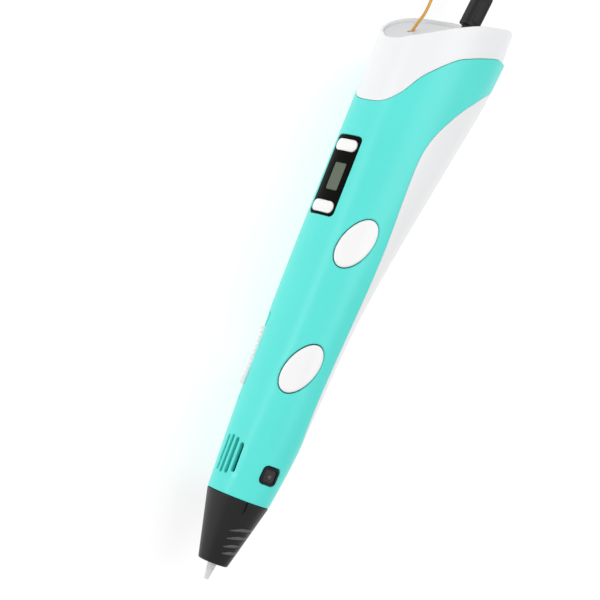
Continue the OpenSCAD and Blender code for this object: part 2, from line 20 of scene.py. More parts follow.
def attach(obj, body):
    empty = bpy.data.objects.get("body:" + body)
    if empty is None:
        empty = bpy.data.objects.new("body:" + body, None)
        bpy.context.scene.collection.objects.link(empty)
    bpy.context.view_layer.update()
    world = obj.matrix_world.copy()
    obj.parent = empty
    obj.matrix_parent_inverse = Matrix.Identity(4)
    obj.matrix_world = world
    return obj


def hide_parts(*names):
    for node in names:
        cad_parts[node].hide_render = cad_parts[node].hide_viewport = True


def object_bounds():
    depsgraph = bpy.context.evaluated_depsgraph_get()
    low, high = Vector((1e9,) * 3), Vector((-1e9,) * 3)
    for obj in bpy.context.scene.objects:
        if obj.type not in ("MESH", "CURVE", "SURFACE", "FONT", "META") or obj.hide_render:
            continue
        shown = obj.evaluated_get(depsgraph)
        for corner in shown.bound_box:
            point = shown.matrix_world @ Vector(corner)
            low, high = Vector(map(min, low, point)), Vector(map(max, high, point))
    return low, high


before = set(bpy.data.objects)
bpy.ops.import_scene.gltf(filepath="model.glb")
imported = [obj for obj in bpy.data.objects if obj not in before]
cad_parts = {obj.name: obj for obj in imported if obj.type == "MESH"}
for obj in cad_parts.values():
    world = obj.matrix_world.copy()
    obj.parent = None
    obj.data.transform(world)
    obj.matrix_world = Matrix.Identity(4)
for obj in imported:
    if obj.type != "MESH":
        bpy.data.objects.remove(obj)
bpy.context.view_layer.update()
random.seed(5)

PI = math.pi
MM = 0.001

# ------------------------------------------------------------------ driving sizes (mm, degrees)
BODY_LENGTH = 184.0
HALF_WIDTH = 15.9
WALL = 1.6
NOSE_END = 25.0  # height where the nose cone meets the casing
NOSE_RADIUS = 9.4  # radius at that height
BACK_SLOPE = 0.245  # how fast the back of the casing leans away behind the grip
SEAM = 0.06  # half of the gap between two shells
SEAM_RADIUS = 0.28
LIP = 1.1  # height of the rear rim above the dished face
DIFFERENCE = 2e-3  # step in radians for the slopes of the casing; ten times that in mm along z
ARC_SCALE = 14.0  # mm of section arc per radian, used only to lay out the triangulation

# Side-view lines as (x, z) points, from the display side to the back.
CAP_SEAM = [
    [13, 145.4], [9.5, 146], [6.7, 150.4], [3.1, 157.7], [-3.7, 165], [-9.5, 168.3],
    [-15.8, 170.9], [-23.5, 173.1], [-38, 174.2],
]
BACK_SEAM = [
    [-38, 167.6], [-25.4, 162.9], [-18, 157.2], [-13.4, 152.5], [-9.1, 146.5], [-6.3, 141],
    [-4.8, 134], [-5, 122], [-5.9, 108], [-6.2, 95], [-6, 80], [-5.7, 66], [-5.9, 56],
    [-7.3, 47.6], [-10.4, 42.6], [-16, 40.6],
]
RIM = [
    [13, 163], [9.8, 165.6], [8.7, 167.1], [5.3, 170], [0.9, 173.2], [-3.2, 175.6],
    [-7.6, 177.8], [-12.3, 179.6], [-17.2, 181.1], [-21.5, BODY_LENGTH - 1.6],
    [-25, BODY_LENGTH - 1.1], [-28, BODY_LENGTH - 1.3], [-31, BODY_LENGTH - 1.9],
    [-38, BODY_LENGTH - 3.5],
]


# ------------------------------------------------------------------ casing surface
def soft_ramp(value, width):
    """Zero below 0 and value above it, with a smooth bend of the given width."""
    return width * np.logaddexp(0, value / width)


def x_front(z):
    return NOSE_RADIUS + 0.5 * (1 - np.exp(-np.maximum(0, z - NOSE_END) / 25))


def x_back(z, cap=False):
    lean = soft_ramp(z - 82.8, 10.5) - soft_ramp(NOSE_END - 82.8, 10.5)
    lean = lean - 0.5 * soft_ramp(z - 160.5, 2)
    if cap:
        lean = lean - 0.6 * soft_ramp(z - 168.5, 1.2) - 0.5 / BACK_SLOPE
    grip = 2.2 * np.sin(PI / 2 * np.clip((z - NOSE_END) / 25, 0, 1))
    return -(NOSE_RADIUS + grip + BACK_SLOPE * lean)


def half_width(z):
    growth = np.exp(-np.maximum(0, z - NOSE_END) / 60)
    return HALF_WIDTH - (HALF_WIDTH - NOSE_RADIUS) * growth


def section_power(z):
    """Exponent of the superellipse section: round at the nose, slightly squarer behind."""
    return 2 + 0.15 * np.clip((z - NOSE_END) / 35, 0, 1)


def surf(angle, z, cap=False):
    """Point on the casing at a section angle (radians) and height z."""
    angle, z = np.broadcast_arrays(np.asarray(angle, float), np.asarray(z, float))
    front, back = x_front(z), x_back(z, cap)
    power = section_power(z)
    taper = 0.12 * np.clip((z - 60) / 124, 0, 1)
    cos, sin = np.cos(angle), np.sin(angle)
    radius = (np.abs(cos) ** power + np.abs(sin) ** power) ** (-1 / power)
    across, side = radius * cos, radius * sin
    x = (front + back) / 2 + (front - back) / 2 * across
    return np.stack([x, half_width(z) * side * (1 + taper * across), z], -1)


def slopes(angle, z, cap=False):
    """Derivatives of the casing point by section angle and by height."""
    h = DIFFERENCE
    by_angle = (surf(angle + h, z, cap) - surf(angle - h, z, cap)) / (2 * h)
    by_z = (surf(angle, z + h * 10, cap) - surf(angle, z - h * 10, cap)) / (20 * h)
    return by_angle, by_z


def unit(vectors):
    return vectors / np.maximum(np.linalg.norm(vectors, axis=-1, keepdims=True), 1e-12)


def normal(angle, z, cap=False):
    return unit(np.cross(*slopes(angle, z, cap)))


def swap_axes(vectors):
    """Local pen axes to the axes of the scene."""
    return np.asarray(vectors, float)[..., [2, 0, 1]]


# ------------------------------------------------------------------ curves and outlines
def arc_lengths(points):
    steps = np.linalg.norm(np.diff(points, axis=0), axis=1)
    return np.concatenate([[0], np.cumsum(steps)])


def sample(points, lengths, where):
    return np.stack([np.interp(where, lengths, column) for column in points.T], -1)


def catmull(points, count=60):
    """Catmull-Rom curve through the points, with count steps per span."""
    p = np.array(points, float)
    out = []
    t = np.arange(count)[:, None] / count
    for i in range(len(p) - 1):
        a, b, c, d = p[max(0, i - 1)], p[i], p[i + 1], p[min(len(p) - 1, i + 2)]
        square = (2 * a - 5 * b + 4 * c - d) * t**2
        cube = (3 * b - a - 3 * c + d) * t**3
        out.append(0.5 * (2 * b + (c - a) * t + square + cube))
    out.append(p[-1:])
    return np.concatenate(out)


def side_curve(points, first, cap=False, step=0.7):
    """Lays a side-view line on the y > 0 half of the casing, evenly spaced.

    Gives (angle, z) rows; the first angle is set exactly, and the last one to PI."""
    x, z = catmull(points).T
    front, back = x_front(z), x_back(z, cap)
    across = (x - (front + back) / 2) / ((front - back) / 2)
    power = section_power(z)
    dense = []
    for i in range(len(x) - 1):
        here = []
        for t in np.arange(0, 1, 0.05):
            f = across[i] + (across[i + 1] - across[i]) * t
            if abs(f) <= 1:
                angle = math.atan2((1 - abs(f) ** power[i]) ** (1 / power[i]), f)
                here.append((t, angle, z[i] + (z[i + 1] - z[i]) * t))
        for limit, angle in ((1, 0.0), (-1, PI)):
            if (across[i] - limit) * (across[i + 1] - limit) < 0:
                t = (limit - across[i]) / (across[i + 1] - across[i])
                here.append((t, angle, z[i] + (z[i + 1] - z[i]) * t))
        dense += [(angle, height) for _, angle, height in sorted(here)]
    dense = np.array(dense)
    lengths = arc_lengths(surf(dense[:, 0], dense[:, 1], cap))
    count = max(4, int(round(lengths[-1] / step)))
    curve = sample(dense, lengths, np.linspace(0, lengths[-1], count + 1))
    curve[0, 0], curve[-1, 0] = first, PI
    return curve


def mirror(curve):
    return np.stack([-curve[:, 0], curve[:, 1]], -1)


def all_round(curve):
    """Half curve from angle 0 to PI, made into a whole one from PI to -PI."""
    return np.vstack([curve[::-1], mirror(curve)[1:]])


def oval(length, width, count=120):
    t = np.linspace(0, 2 * PI, count, endpoint=False)
    return np.stack([length / 2 * np.cos(t), width / 2 * np.sin(t)], -1)


def rounded_rect(length, width, radius, count=120):
    """Closed, evenly spaced outline; its length is along the first axis."""
    points = []
    for sx, sy, start in ((1, 1, 0), (-1, 1, 90), (-1, -1, 180), (1, -1, 270)):
        for t in np.radians(np.linspace(start, start + 90, 13)):
            x = sx * (length / 2 - radius) + radius * math.cos(t)
            y = sy * (width / 2 - radius) + radius * math.sin(t)
            points.append((x, y))
    points = np.array(points + points[:1])
    lengths = arc_lengths(points)
    return sample(points, lengths, np.linspace(0, lengths[-1], count, endpoint=False))


def rounded_polygon(points, radius, count=5):
    """Closed polygon whose corners are eased by radius, with count points at each."""
    points = np.array(points, float)
    out = []
    for i in range(len(points)):
        a, b, c = points[i - 1], points[i], points[(i + 1) % len(points)]
        k = min(radius, 0.45 * np.linalg.norm(a - b), 0.45 * np.linalg.norm(c - b))
        start, end = b + unit(a - b) * k, b + unit(c - b) * k
        for t in np.linspace(0, 1, count):
            out.append((1 - t) ** 2 * start + 2 * t * (1 - t) * b + t**2 * end)
    return np.array(out)


def anticlockwise(loop):
    after = np.roll(loop, -1, axis=0)
    area = np.sum(loop[:, 0] * after[:, 1] - after[:, 0] * loop[:, 1])
    return loop if area > 0 else loop[::-1]


def inward(loop):
    """Unit vectors that point into an anticlockwise loop."""
    t = unit(np.roll(loop, -1, axis=0) - np.roll(loop, 1, axis=0))
    return np.stack([-t[:, 1], t[:, 0]], -1)


def inside(points, loops):
    """Even-odd test of points against several closed polygons."""
    x, y = points[:, 0], points[:, 1]
    odd = np.zeros(len(points), bool)
    for loop in loops:
        for (x0, y0), (x1, y1) in zip(loop, np.roll(loop, -1, axis=0)):
            if y0 != y1:
                spans = (y0 > y) != (y1 > y)
                odd ^= spans & (x < (x1 - x0) * (y - y0) / (y1 - y0) + x0)
    return odd


def clear_of(points, others, reach):
    """Which points lie further than reach from all the others, worked out in batches."""
    clear = np.ones(len(points), bool)
    for i in range(0, len(points), 2000):
        gaps = ((points[i : i + 2000, None, :] - others[None]) ** 2).sum(-1).min(1)
        clear[i : i + 2000] = gaps > reach**2
    return clear


# ------------------------------------------------------------------ planes
# A plane is (origin, u, v, outward axis).
def facing(degrees, z, sideways=0.0, turn=0.0):
    """Plane that faces outwards at an angle about the pen: u runs to the rear, v sideways."""
    a, k = math.radians(degrees), math.radians(turn)
    out = np.array([math.cos(a), math.sin(a), 0.0])
    side = np.array([-math.sin(a), math.cos(a), 0.0])
    rear = np.array([0, 0, 1.0])
    u = rear * math.cos(k) + side * math.sin(k)
    v = side * math.cos(k) - rear * math.sin(k)
    return side * sideways + rear * z, u, v, out


def on_plane(plane, points, distance):
    origin, u, v, out = plane
    distance = np.broadcast_to(np.asarray(distance, float), (len(points),))
    return origin + points[:, :1] * u + points[:, 1:2] * v + distance[:, None] * out


def loop_on_body(plane, outline):
    """Projects an outline along the plane's axis onto the casing, as (angle, z) rows."""
    points = on_plane(plane, outline, 0)
    out = plane[3]
    # Newton steps for the columns: section angle, height and distance along the axis.
    guess = np.zeros((len(points), 3))
    guess[:, 0] = math.atan2(out[1], out[0])
    guess[:, 1] = points[:, 2]
    for _ in range(14):
        angle, z, distance = guess.T
        miss = surf(angle, z) - points - distance[:, None] * out
        by_angle, by_z = slopes(angle, z)
        jacobian = np.stack([by_angle, by_z, np.broadcast_to(-out, by_angle.shape)], -1)
        guess = guess - np.clip(np.linalg.solve(jacobian, miss[..., None])[..., 0], -3, 3)
    return guess[:, :2]


# ------------------------------------------------------------------ mesh building
def add_piece(name, mesh, finish, body, replaces=None):
    piece = bpy.data.objects.new(name, mesh)
    bpy.context.scene.collection.objects.link(piece)
    mesh.materials.append(finish)
    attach(piece, body)
    if replaces:
        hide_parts(replaces)


def new_mesh(name, points, faces):
    """Smooth-shaded mesh from points in local mm."""
    mesh = bpy.data.meshes.new(name)
    mesh.from_pydata([tuple(q) for q in swap_axes(points) * MM], [], faces)
    mesh.update()
    mesh.polygons.foreach_set("use_smooth", [True] * len(mesh.polygons))
    return mesh


def creased_mesh(name, points, faces, degrees):
    """Mesh whose shading breaks at edges sharper than the angle."""
    mesh = new_mesh(name, points, faces)
    mesh.set_sharp_from_angle(angle=math.radians(degrees))
    return mesh


class Soup:
    """Vertices (local mm), their normals and faces, gathered piece by piece."""

    def __init__(self):
        self.points, self.normals, self.faces, self.count = [], [], [], 0

    def add(self, points, normals):
        points = np.asarray(points, float).reshape(-1, 3)
        self.points.append(points)
        self.normals.append(np.broadcast_to(np.asarray(normals, float), points.shape))
        self.count += len(points)
        return np.arange(self.count - len(points), self.count)

    def strip(self, a, b, closed=True, flip=False):
        """Quads between two rows of vertices."""
        count = len(a)
        for i in range(count if closed else count - 1):
            j = (i + 1) % count
            quad = (a[i], a[j], b[j], b[i])
            self.faces.append(quad[::-1] if flip else quad)

    def edge_wall(self, top, place, foot, up, inner, radius, flip, closed=True, steps=4):
        """Rounds off from the top row and goes down to the foot points.

        place(inset, drop) gives the points of a row; inner points into the material."""
        for s in range(1, steps + 1):
            cos, sin = math.cos(PI / 2 * s / steps), math.sin(PI / 2 * s / steps)
            row = self.add(
                place(radius * (1 - sin), radius * (1 - cos)), unit(up * cos - inner * sin)
            )
            self.strip(top, row, closed, flip)
            top = row
        foot = self.add(foot, -inner)
        self.strip(top, foot, closed, flip)
        return foot

    def fill(self, loops, ids, down=False, extra=np.zeros((0, 2)), scale=(1.0, 1.0)):
        """Triangulates the area between closed loops.

        ids are the vertices of the loops and then of the extra points inside."""
        ids, scale = np.concatenate(ids), np.array(scale)
        limits, base = [], 0
        for loop in loops:
            count = len(loop)
            limits += [(base + i, base + (i + 1) % count) for i in range(count)]
            base += count
        points = [Vector(q) for q in np.vstack([*loops, extra]) * scale]
        flat, _, faces, origins, _, _ = delaunay_2d_cdt(points, limits, [], 0, 1e-7, True)
        flat = np.array([(q.x, q.y) for q in flat])
        centres = np.array([flat[list(face)].mean(0) for face in faces])
        triangles = []
        for face, wanted in zip(faces, inside(centres / scale, loops)):
            sources = [origins[i] for i in face]
            if not (wanted and all(sources)):
                continue
            corners = tuple(int(ids[source[0]]) for source in sources)
            a, b, c = flat[list(face)]
            up = (b[0] - a[0]) * (c[1] - a[1]) - (b[1] - a[1]) * (c[0] - a[0]) > 0
            triangles.append(corners if up != down else corners[::-1])
        self.faces += triangles
        return triangles

    def mesh(self, name, weld):
        """Joins vertices closer than weld; face corners keep their normals, so creases stay."""
        points, normals = np.concatenate(self.points), np.concatenate(self.normals)
        tree = KDTree(len(points))
        for i, q in enumerate(points):
            tree.insert(Vector(q), i)
        tree.balance()
        target = np.arange(len(points))
        for i, q in enumerate(points):
            if target[i] == i:
                for _, j, _ in tree.find_range(Vector(q), weld):
                    if j > i and target[j] == j:
                        target[j] = i
        used = np.zeros(len(points), bool)
        faces, corners = [], []
        for face in self.faces:
            face = [int(a) for a in face]
            face = [a for k, a in enumerate(face) if target[a] != target[face[k - 1]]]
            if len({int(target[a]) for a in face}) < 3:
                continue
            faces.append(target[face])
            corners += face
            used[target[face]] = True
        new = np.cumsum(used) - 1
        faces = [tuple(int(i) for i in new[face]) for face in faces]
        mesh = new_mesh(name, points[used], faces)
        split = swap_axes(unit(normals[corners]))
        mesh.normals_split_custom_set([tuple(q) for q in split])
        return mesh

    def piece(self, name, finish, body, slot, replaces=None, weld=0.0008):
        add_piece(name, self.mesh(name, weld), finish, body, replaces)


SHELL_WELD = 0.02

# A border of a plate on the casing. points: (angle, z) rows; side: +1 with the material on the
# left of the line, -1 on its right; radius: of the rounded edge; gap: how far it stands back;
# draft: how far the wall draws in at its foot; depth: of the wall, if not the plate's own.
Edge = namedtuple("Edge", "points side radius closed gap draft depth", defaults=(False, 0, 0, None))


def hole(plane, outline, radius, **more):
    return Edge(loop_on_body(plane, outline), 1, radius, True, **more)


def patch(edges, route=None, lift=0.0, depth=WALL, grid=1.3, cap=False, steps=5):
    """Curved hollow plate that follows the casing, lifted off it by lift.

    route: how open edges close the outline, as (edge number, reversed, angle of the straight
    cut that leads on to the next one)."""
    soup = Soup()
    rows = []  # for each edge: top vertices, their (angle, z), foot vertices
    for edge in edges:
        angle, z = edge.points.T
        points, normals = surf(angle, z, cap), normal(angle, z, cap)
        by_angle, by_z = slopes(angle, z, cap)
        if edge.closed:
            along = np.roll(points, -1, axis=0) - np.roll(points, 1, axis=0)
        else:
            # The ends run square to the cut lines, so that both sides meet there.
            along = np.gradient(points, axis=0)
            for i in (0, -1):
                along[i] = by_angle[i] * (1 if along[i] @ by_angle[i] > 0 else -1)
        along = unit(along - normals * np.sum(along * normals, -1, keepdims=True))
        inner = unit(np.cross(normals, along)) * edge.side
        # Least-squares step in (angle, z) that moves the line inwards.
        move = inner * (edge.radius + edge.gap)
        axes = np.stack([by_angle, by_z], -1)
        square = np.einsum("nij,nik->njk", axes, axes)
        shift = np.linalg.solve(square, np.einsum("nij,ni->nj", axes, move)[..., None])
        inset = edge.points + shift[..., 0]
        if not edge.closed:
            inset[[0, -1], 0] = angle[[0, -1]]
        up = normal(*inset.T, cap)
        top = soup.add(surf(*inset.T, cap) + up * lift, up)
        raised = points + normals * lift
        wall = depth if edge.depth is None else edge.depth
        foot = soup.edge_wall(
            top,
            lambda inset, drop: raised + inner * (inset + edge.gap) - normals * drop,
            raised + inner * (edge.gap + edge.draft) - normals * wall,
            normals, inner, edge.radius, edge.side > 0, edge.closed, steps,
        )
        rows.append((top, inset, foot))

    loops, ids = [], []
    if route:
        outer, outer_ids = [], []
        for k, (number, backwards, cut) in enumerate(route):
            turn = -1 if backwards else 1
            top, inset, _ = rows[number]
            outer.append(inset[::turn])
            outer_ids.append(top[::turn])
            after, after_backwards, _ = route[(k + 1) % len(route)]
            z0 = outer[-1][-1, 1]
            z1 = rows[after][1][-1 if after_backwards else 0, 1]
            count = max(2, int(abs(z1 - z0) / grid))
            z = z0 + (z1 - z0) * np.linspace(0, 1, count + 1)[1:-1]
            up = normal(cut, z, cap)
            outer.append(np.stack([np.full(len(z), cut), z], -1))
            outer_ids.append(soup.add(surf(cut, z, cap) + up * lift, up))
        loops.append(np.concatenate(outer))
        ids.append(np.concatenate(outer_ids))
    for edge, (top, inset, _) in zip(edges, rows):
        if edge.closed:
            loops.append(inset)
            ids.append(top)

    # Staggered grid of points inside the borders, kept clear of them.
    border = np.concatenate(loops)
    low, high = border.min(0), border.max(0)
    columns = np.arange(low[0], high[0], grid / ARC_SCALE)
    inner = np.stack(np.meshgrid(columns, np.arange(low[1], high[1], grid)), -1).reshape(-1, 2)
    inner[:, 0] += (np.round((inner[:, 1] - low[1]) / grid) % 2) * grid / ARC_SCALE / 2
    inner = inner[inside(inner, loops)]
    scale = np.array([ARC_SCALE, 1])
    inner = inner[clear_of(inner * scale, border * scale, 0.55 * grid)]
    up = normal(*inner.T, cap)
    ids.append(soup.add(surf(*inner.T, cap) + up * lift, up))
    triangles = soup.fill(loops, ids, extra=inner, scale=scale)

    # Inner skin, joined to the feet of the walls.
    points, normals = np.concatenate(soup.points), np.concatenate(soup.normals)
    used = sorted({i for triangle in triangles for i in triangle})
    skin = dict(zip(used, soup.add(points[used] - normals[used] * depth, -normals[used])))
    soup.faces += [tuple(int(skin[i]) for i in triangle[::-1]) for triangle in triangles]
    for edge, (top, _, foot) in zip(edges, rows):
        soup.strip(foot, [int(skin[int(i)]) for i in top], edge.closed, edge.side > 0)
    return soup


def plate(soup, plane, outline, back, front, radius, holes=(), hole_radius=0.15, shape=None):
    """Flat plate between two distances along the plane's axis, with rounded front edges.

    shape(u, v) is an extra height of the front borders."""
    _, u, v, out = plane
    flip = np.dot(np.cross(u, v), out) < 0
    tops, feet, front_ids, back_ids = [], [], [], []
    for k, loop in enumerate([outline, *holes]):
        loop = anticlockwise(loop)
        sign, rounding = (-1, hole_radius) if k else (1, radius)
        inner = inward(loop) * sign
        top = loop + inner * rounding
        height = front + (shape(*top.T) if shape else 0)
        ids = soup.add(on_plane(plane, top, height), out)
        foot = on_plane(plane, loop, back)
        soup.edge_wall(
            ids,
            lambda inset, drop: on_plane(plane, loop + inner * inset, height - drop),
            foot, out, inner[:, :1] * u + inner[:, 1:2] * v, rounding, (sign > 0) != flip,
        )
        tops.append(top)
        feet.append(loop)
        front_ids.append(ids)
        back_ids.append(soup.add(foot, -out))
    soup.fill(tops, front_ids, down=flip)
    soup.fill(feet, back_ids, down=not flip)


def revolve(soup, plane, profile, count=48, sharp=25):
    """Turned solid about the plane's axis from (radius, height) pairs.

    Bends below sharp degrees are shaded smooth."""
    origin, u, _, axis = plane
    angles = np.arange(count) / count * 2 * PI
    spokes = np.cos(angles)[:, None] * u + np.sin(angles)[:, None] * np.cross(axis, u)
    spans = list(zip(profile[:-1], profile[1:]))
    normals = [unit(np.array([b[1] - a[1], a[0] - b[0]])) for a, b in spans]
    for i, (start, end) in enumerate(spans):
        rings = []
        for (radius, height), j in ((start, i - 1), (end, i + 1)):
            out = normals[i]
            if 0 <= j < len(normals) and out @ normals[j] > math.cos(math.radians(sharp)):
                out = unit(out + normals[j])
            points = origin + spokes * radius + axis * height
            rings.append(soup.add(points, unit(spokes * out[0] + axis * out[1])))
        soup.strip(*rings)


def add_stem(soup, plane, radius, low, high, count):
    """Cylinder under a key."""
    revolve(soup, plane, [(0, low), (radius, low), (radius, high), (0, high)], count)


# ------------------------------------------------------------------ materials
def srgb(red, green, blue):
    def linear(c):
        return c / 12.92 if c <= 0.04045 else ((c + 0.055) / 1.055) ** 2.4

    return tuple(linear(c / 255) for c in (red, green, blue)) + (1.0,)


def connect(tree, socket, value):
    """Links the socket if value is a socket too, and sets it otherwise."""
    if isinstance(value, bpy.types.NodeSocket):
        tree.links.new(value, socket)
    else:
        socket.default_value = value


def set_inputs(tree, node, **inputs):
    for name, value in inputs.items():
        connect(tree, node.inputs[name.replace("_", " ")], value)


def add_node(tree, kind, settings=None, **inputs):
    node = tree.nodes.new("ShaderNode" + kind)
    for name, value in (settings or {}).items():
        setattr(node, name, value)
    set_inputs(tree, node, **inputs)
    return node


def mix_colours(tree, factor, a, b):
    node = add_node(tree, "Mix", {"data_type": "RGBA"}, Factor=factor, A=a, B=b)
    return node.outputs["Result"]


def multiply(tree, a, b):
    node = add_node(tree, "Math", {"operation": "MULTIPLY"})
    connect(tree, node.inputs[0], a)
    connect(tree, node.inputs[1], b)
    return node.outputs["Value"]


def bump_surface(tree, bsdf, height, strength, distance):
    bump = add_node(tree, "Bump", Strength=strength, Distance=distance, Height=height)
    set_inputs(tree, bsdf, Normal=bump.outputs["Normal"])


def material(
    name, colour, rough, vary, bump=0.0, grain=0.0, metal=0.0, coat=0.0, coat_rough=0.08,
    specular=0.5, blotch=60.0, subsurface=0.0, painted_edge_highlight=0.0, stretch=None,
):
    """Principled material with moulding grain and slow changes of colour and gloss.

    colour: sRGB out of 255; vary: share of colour change; bump, grain: strength and scale of
    the grain; blotch: scale of the slow changes; painted_edge_highlight: share of lighter colour
    painted on raised edges as a highlight;
    stretch: scale of the texture space along each axis."""
    colour = srgb(*colour)
    made = bpy.data.materials.new(name)
    made.use_nodes = True
    tree = made.node_tree
    bsdf = tree.nodes["Principled BSDF"]
    set_inputs(tree, bsdf, Metallic=metal, Specular_IOR_Level=specular,
               Coat_Weight=coat, Coat_Roughness=coat_rough)
    if subsurface:
        set_inputs(tree, bsdf, Subsurface_Weight=subsurface,
                   Subsurface_Radius=(1.0, 0.9, 0.8), Subsurface_Scale=0.0012)
    place = add_node(tree, "TexCoord").outputs["Object"]
    if stretch:
        place = add_node(tree, "Mapping", Scale=stretch, Vector=place).outputs["Vector"]
    slow = add_node(tree, "TexNoise", Scale=blotch, Detail=4, Vector=place).outputs["Fac"]
    darker = [c * (1 - vary) for c in colour[:3]] + [1]
    lighter = [min(1, c * (1 + vary) + vary * 0.02) for c in colour[:3]] + [1]
    base = mix_colours(tree, slow, darker, lighter)
    # Painted highlight: convex, raised edges are lightened as if light caught them.
    if painted_edge_highlight:
        pointiness = add_node(tree, "NewGeometry").outputs["Pointiness"]
        ramp = add_node(tree, "MapRange", From_Min=0.52, From_Max=0.62, Value=pointiness)
        highlight_colour = [min(1, c * 1.6 + 0.05) for c in colour[:3]] + [1]
        base = mix_colours(tree, multiply(tree, ramp.outputs["Result"], painted_edge_highlight), base, highlight_colour)
    gloss = add_node(tree, "MapRange", Value=slow,
                     To_Min=max(0.02, rough - 0.08), To_Max=min(1.0, rough + 0.08))
    set_inputs(tree, bsdf, Base_Color=base, Roughness=gloss.outputs["Result"])
    if bump:
        fine = add_node(tree, "TexNoise", Scale=grain, Detail=3, Vector=place)
        bump_surface(tree, bsdf, fine.outputs["Fac"], strength=bump, distance=0.00006)
    return made


# The edge share given below to the teal, black, latch, dark and plug plastics is a painted highlight
# on their raised edges.
TEAL = material("teal_plastic", (88, 232, 222), rough=0.36, vary=0.03, bump=0.10, grain=2600,
                coat=0.06, coat_rough=0.25, subsurface=0.06, painted_edge_highlight=0.4)
WHITE = material("white_plastic", (244, 245, 246), rough=0.34, vary=0.012, bump=0.08, grain=2600,
                 coat=0.08, coat_rough=0.2, subsurface=0.08)
KEY_WHITE = material("key_plastic", (250, 249, 249), rough=0.3, vary=0.01, bump=0.06, grain=3200,
                     coat=0.15, coat_rough=0.15, subsurface=0.08)
BLACK = material("black_plastic_moulded", (19, 19, 20), rough=0.4, vary=0.10, bump=0.30,
                 grain=3600, painted_edge_highlight=0.2, specular=0.4)
PANEL = material("display_panel_gloss", (15, 16, 13), rough=0.2, vary=0.08, bump=0.03, grain=2000,
                 specular=0.02)
LATCH = material("latch_plastic", (21, 23, 26), rough=0.42, vary=0.08, bump=0.25, grain=3600,
                 painted_edge_highlight=0.2, specular=0.22)
LATCH_FLOOR = material("latch_floor_plastic", (50, 48, 51), rough=0.45, vary=0.08, bump=0.2,
                       grain=3600, specular=0.3)
LATCH_PIP = material("latch_pip_plastic", (78, 70, 71), rough=0.35, vary=0.08, bump=0.15,
                     grain=3600)
CERAMIC = material("nozzle_ceramic", (224, 223, 221), rough=0.42, vary=0.03, bump=0.12,
                   grain=5000, subsurface=0.2, blotch=400)
STEEL = material("brushed_steel", (190, 192, 196), rough=0.28, metal=1.0, vary=0.06, bump=0.25,
                 grain=900, stretch=(0.12, 1, 1))
SPRING = material("spring_wire", (150, 152, 158), rough=0.3, metal=1.0, vary=0.08, bump=0.15,
                  grain=3000)
CHIP = material("chip_epoxy", (28, 28, 30), rough=0.55, vary=0.1, bump=0.35, grain=5000)
COPPER = material("enamelled_copper", (190, 110, 60), rough=0.25, metal=1.0, vary=0.08, bump=0.1,
                  grain=2500)
DARK = material("dark_moulding", (58, 60, 66), rough=0.45, vary=0.08, bump=0.3, grain=3200,
                painted_edge_highlight=0.2)
NYLON = material("natural_nylon", (226, 216, 184), rough=0.4, vary=0.04, bump=0.2, grain=3000,
                 subsurface=0.2)
PTFE = material("ptfe_tube", (240, 240, 232), rough=0.35, vary=0.02, bump=0.08, grain=2500,
                subsurface=0.3)
BRASS = material("machined_brass", (212, 175, 100), rough=0.25, metal=1.0, vary=0.06, bump=0.2,
                 grain=1500)
RED_WIRE = material("wire_insulation", (170, 30, 26), rough=0.45, vary=0.06, bump=0.15,
                    grain=2500)
CABLE = material("cable_jacket", (24, 24, 25), rough=0.5, vary=0.1, bump=0.3, grain=3600,
                 specular=0.4)
PLUG = material("plug_overmould", (24, 24, 25), rough=0.45, vary=0.12, bump=0.4, grain=3000,
                painted_edge_highlight=0.3, specular=0.3)
# Painted shade: a greyer copy of the white plastic, so that the dished rear face looks shaded.
SHADED_REAR_FACE = material("rear_face_painted_shade", (214, 216, 218), rough=0.42, vary=0.02, bump=0.18,
                     grain=2200, subsurface=0.04)
# Painted highlight: lighter grey put on the raised ribs of the black nose in place of the light they
# catch.
RIB_HIGHLIGHT = material("nose_rib_painted_highlight", (84, 84, 86), rough=0.4, vary=0.06, bump=0.2, grain=3600)
FILAMENT = material("gold_filament", (214, 160, 62), rough=0.3, vary=0.06, bump=0.1, grain=2500,
                    subsurface=0.15)


def board_material():
    """Green circuit board with a lighter grid of lines."""
    made = material("circuit_board", (24, 92, 52), rough=0.38, vary=0.08, bump=0.1, grain=3000,
                    coat=0.3)
    tree = made.node_tree
    bsdf = tree.nodes["Principled BSDF"]
    base = bsdf.inputs["Base Color"].links[0].from_socket
    black, white = (0, 0, 0, 1), (1, 1, 1, 1)
    lines = add_node(tree, "TexBrick", Scale=260, Mortar_Size=0.035, Color1=black, Color2=black,
                     Mortar=white, Vector=add_node(tree, "TexCoord").outputs["Object"])
    tracks = mix_colours(tree, lines.outputs["Color"], base, srgb(60, 140, 84))
    set_inputs(tree, bsdf, Base_Color=tracks)
    return made


def weave_material():
    """Woven glass-fibre sleeve, its relief made by two crossing waves."""
    made = material("glass_fibre_weave", (222, 212, 186), rough=0.7, vary=0.06)
    tree = made.node_tree
    place = add_node(tree, "TexCoord").outputs["Object"]
    waves = [
        add_node(tree, "TexWave", {"bands_direction": way}, Scale=500, Vector=place).outputs["Fac"]
        for way in ("DIAGONAL", "X")
    ]
    bump_surface(tree, tree.nodes["Principled BSDF"], multiply(tree, *waves),
                 strength=0.6, distance=0.0002)
    return made


BOARD = board_material()
WEAVE = weave_material()
LCD = material("display_glass", (94, 105, 89), rough=0.2, vary=0.06, bump=0.02, grain=2000,
               specular=0.25, coat=0.1, coat_rough=0.06)

# ------------------------------------------------------------------ places on the casing
PANEL_PLANE = facing(0, 122.1, -1.2)
WINDOW_PLANE = facing(0, 121.7, -0.15)
TEMP_UP_PLANE = facing(0, 131.3, -0.95)
TEMP_DOWN_PLANE = facing(0, 112.3, -0.95)
EXTRUDE_PLANE = facing(57.5, 66, 2.03, 21)
RETRACT_PLANE = facing(57.5, 105, 3.55, 21)
LATCH_PLANE = facing(90, 34.2)
SLIDER_PLANE = facing(-36, 65, -2.47)
PEN_PLANE = (np.zeros(3), *np.eye(3))

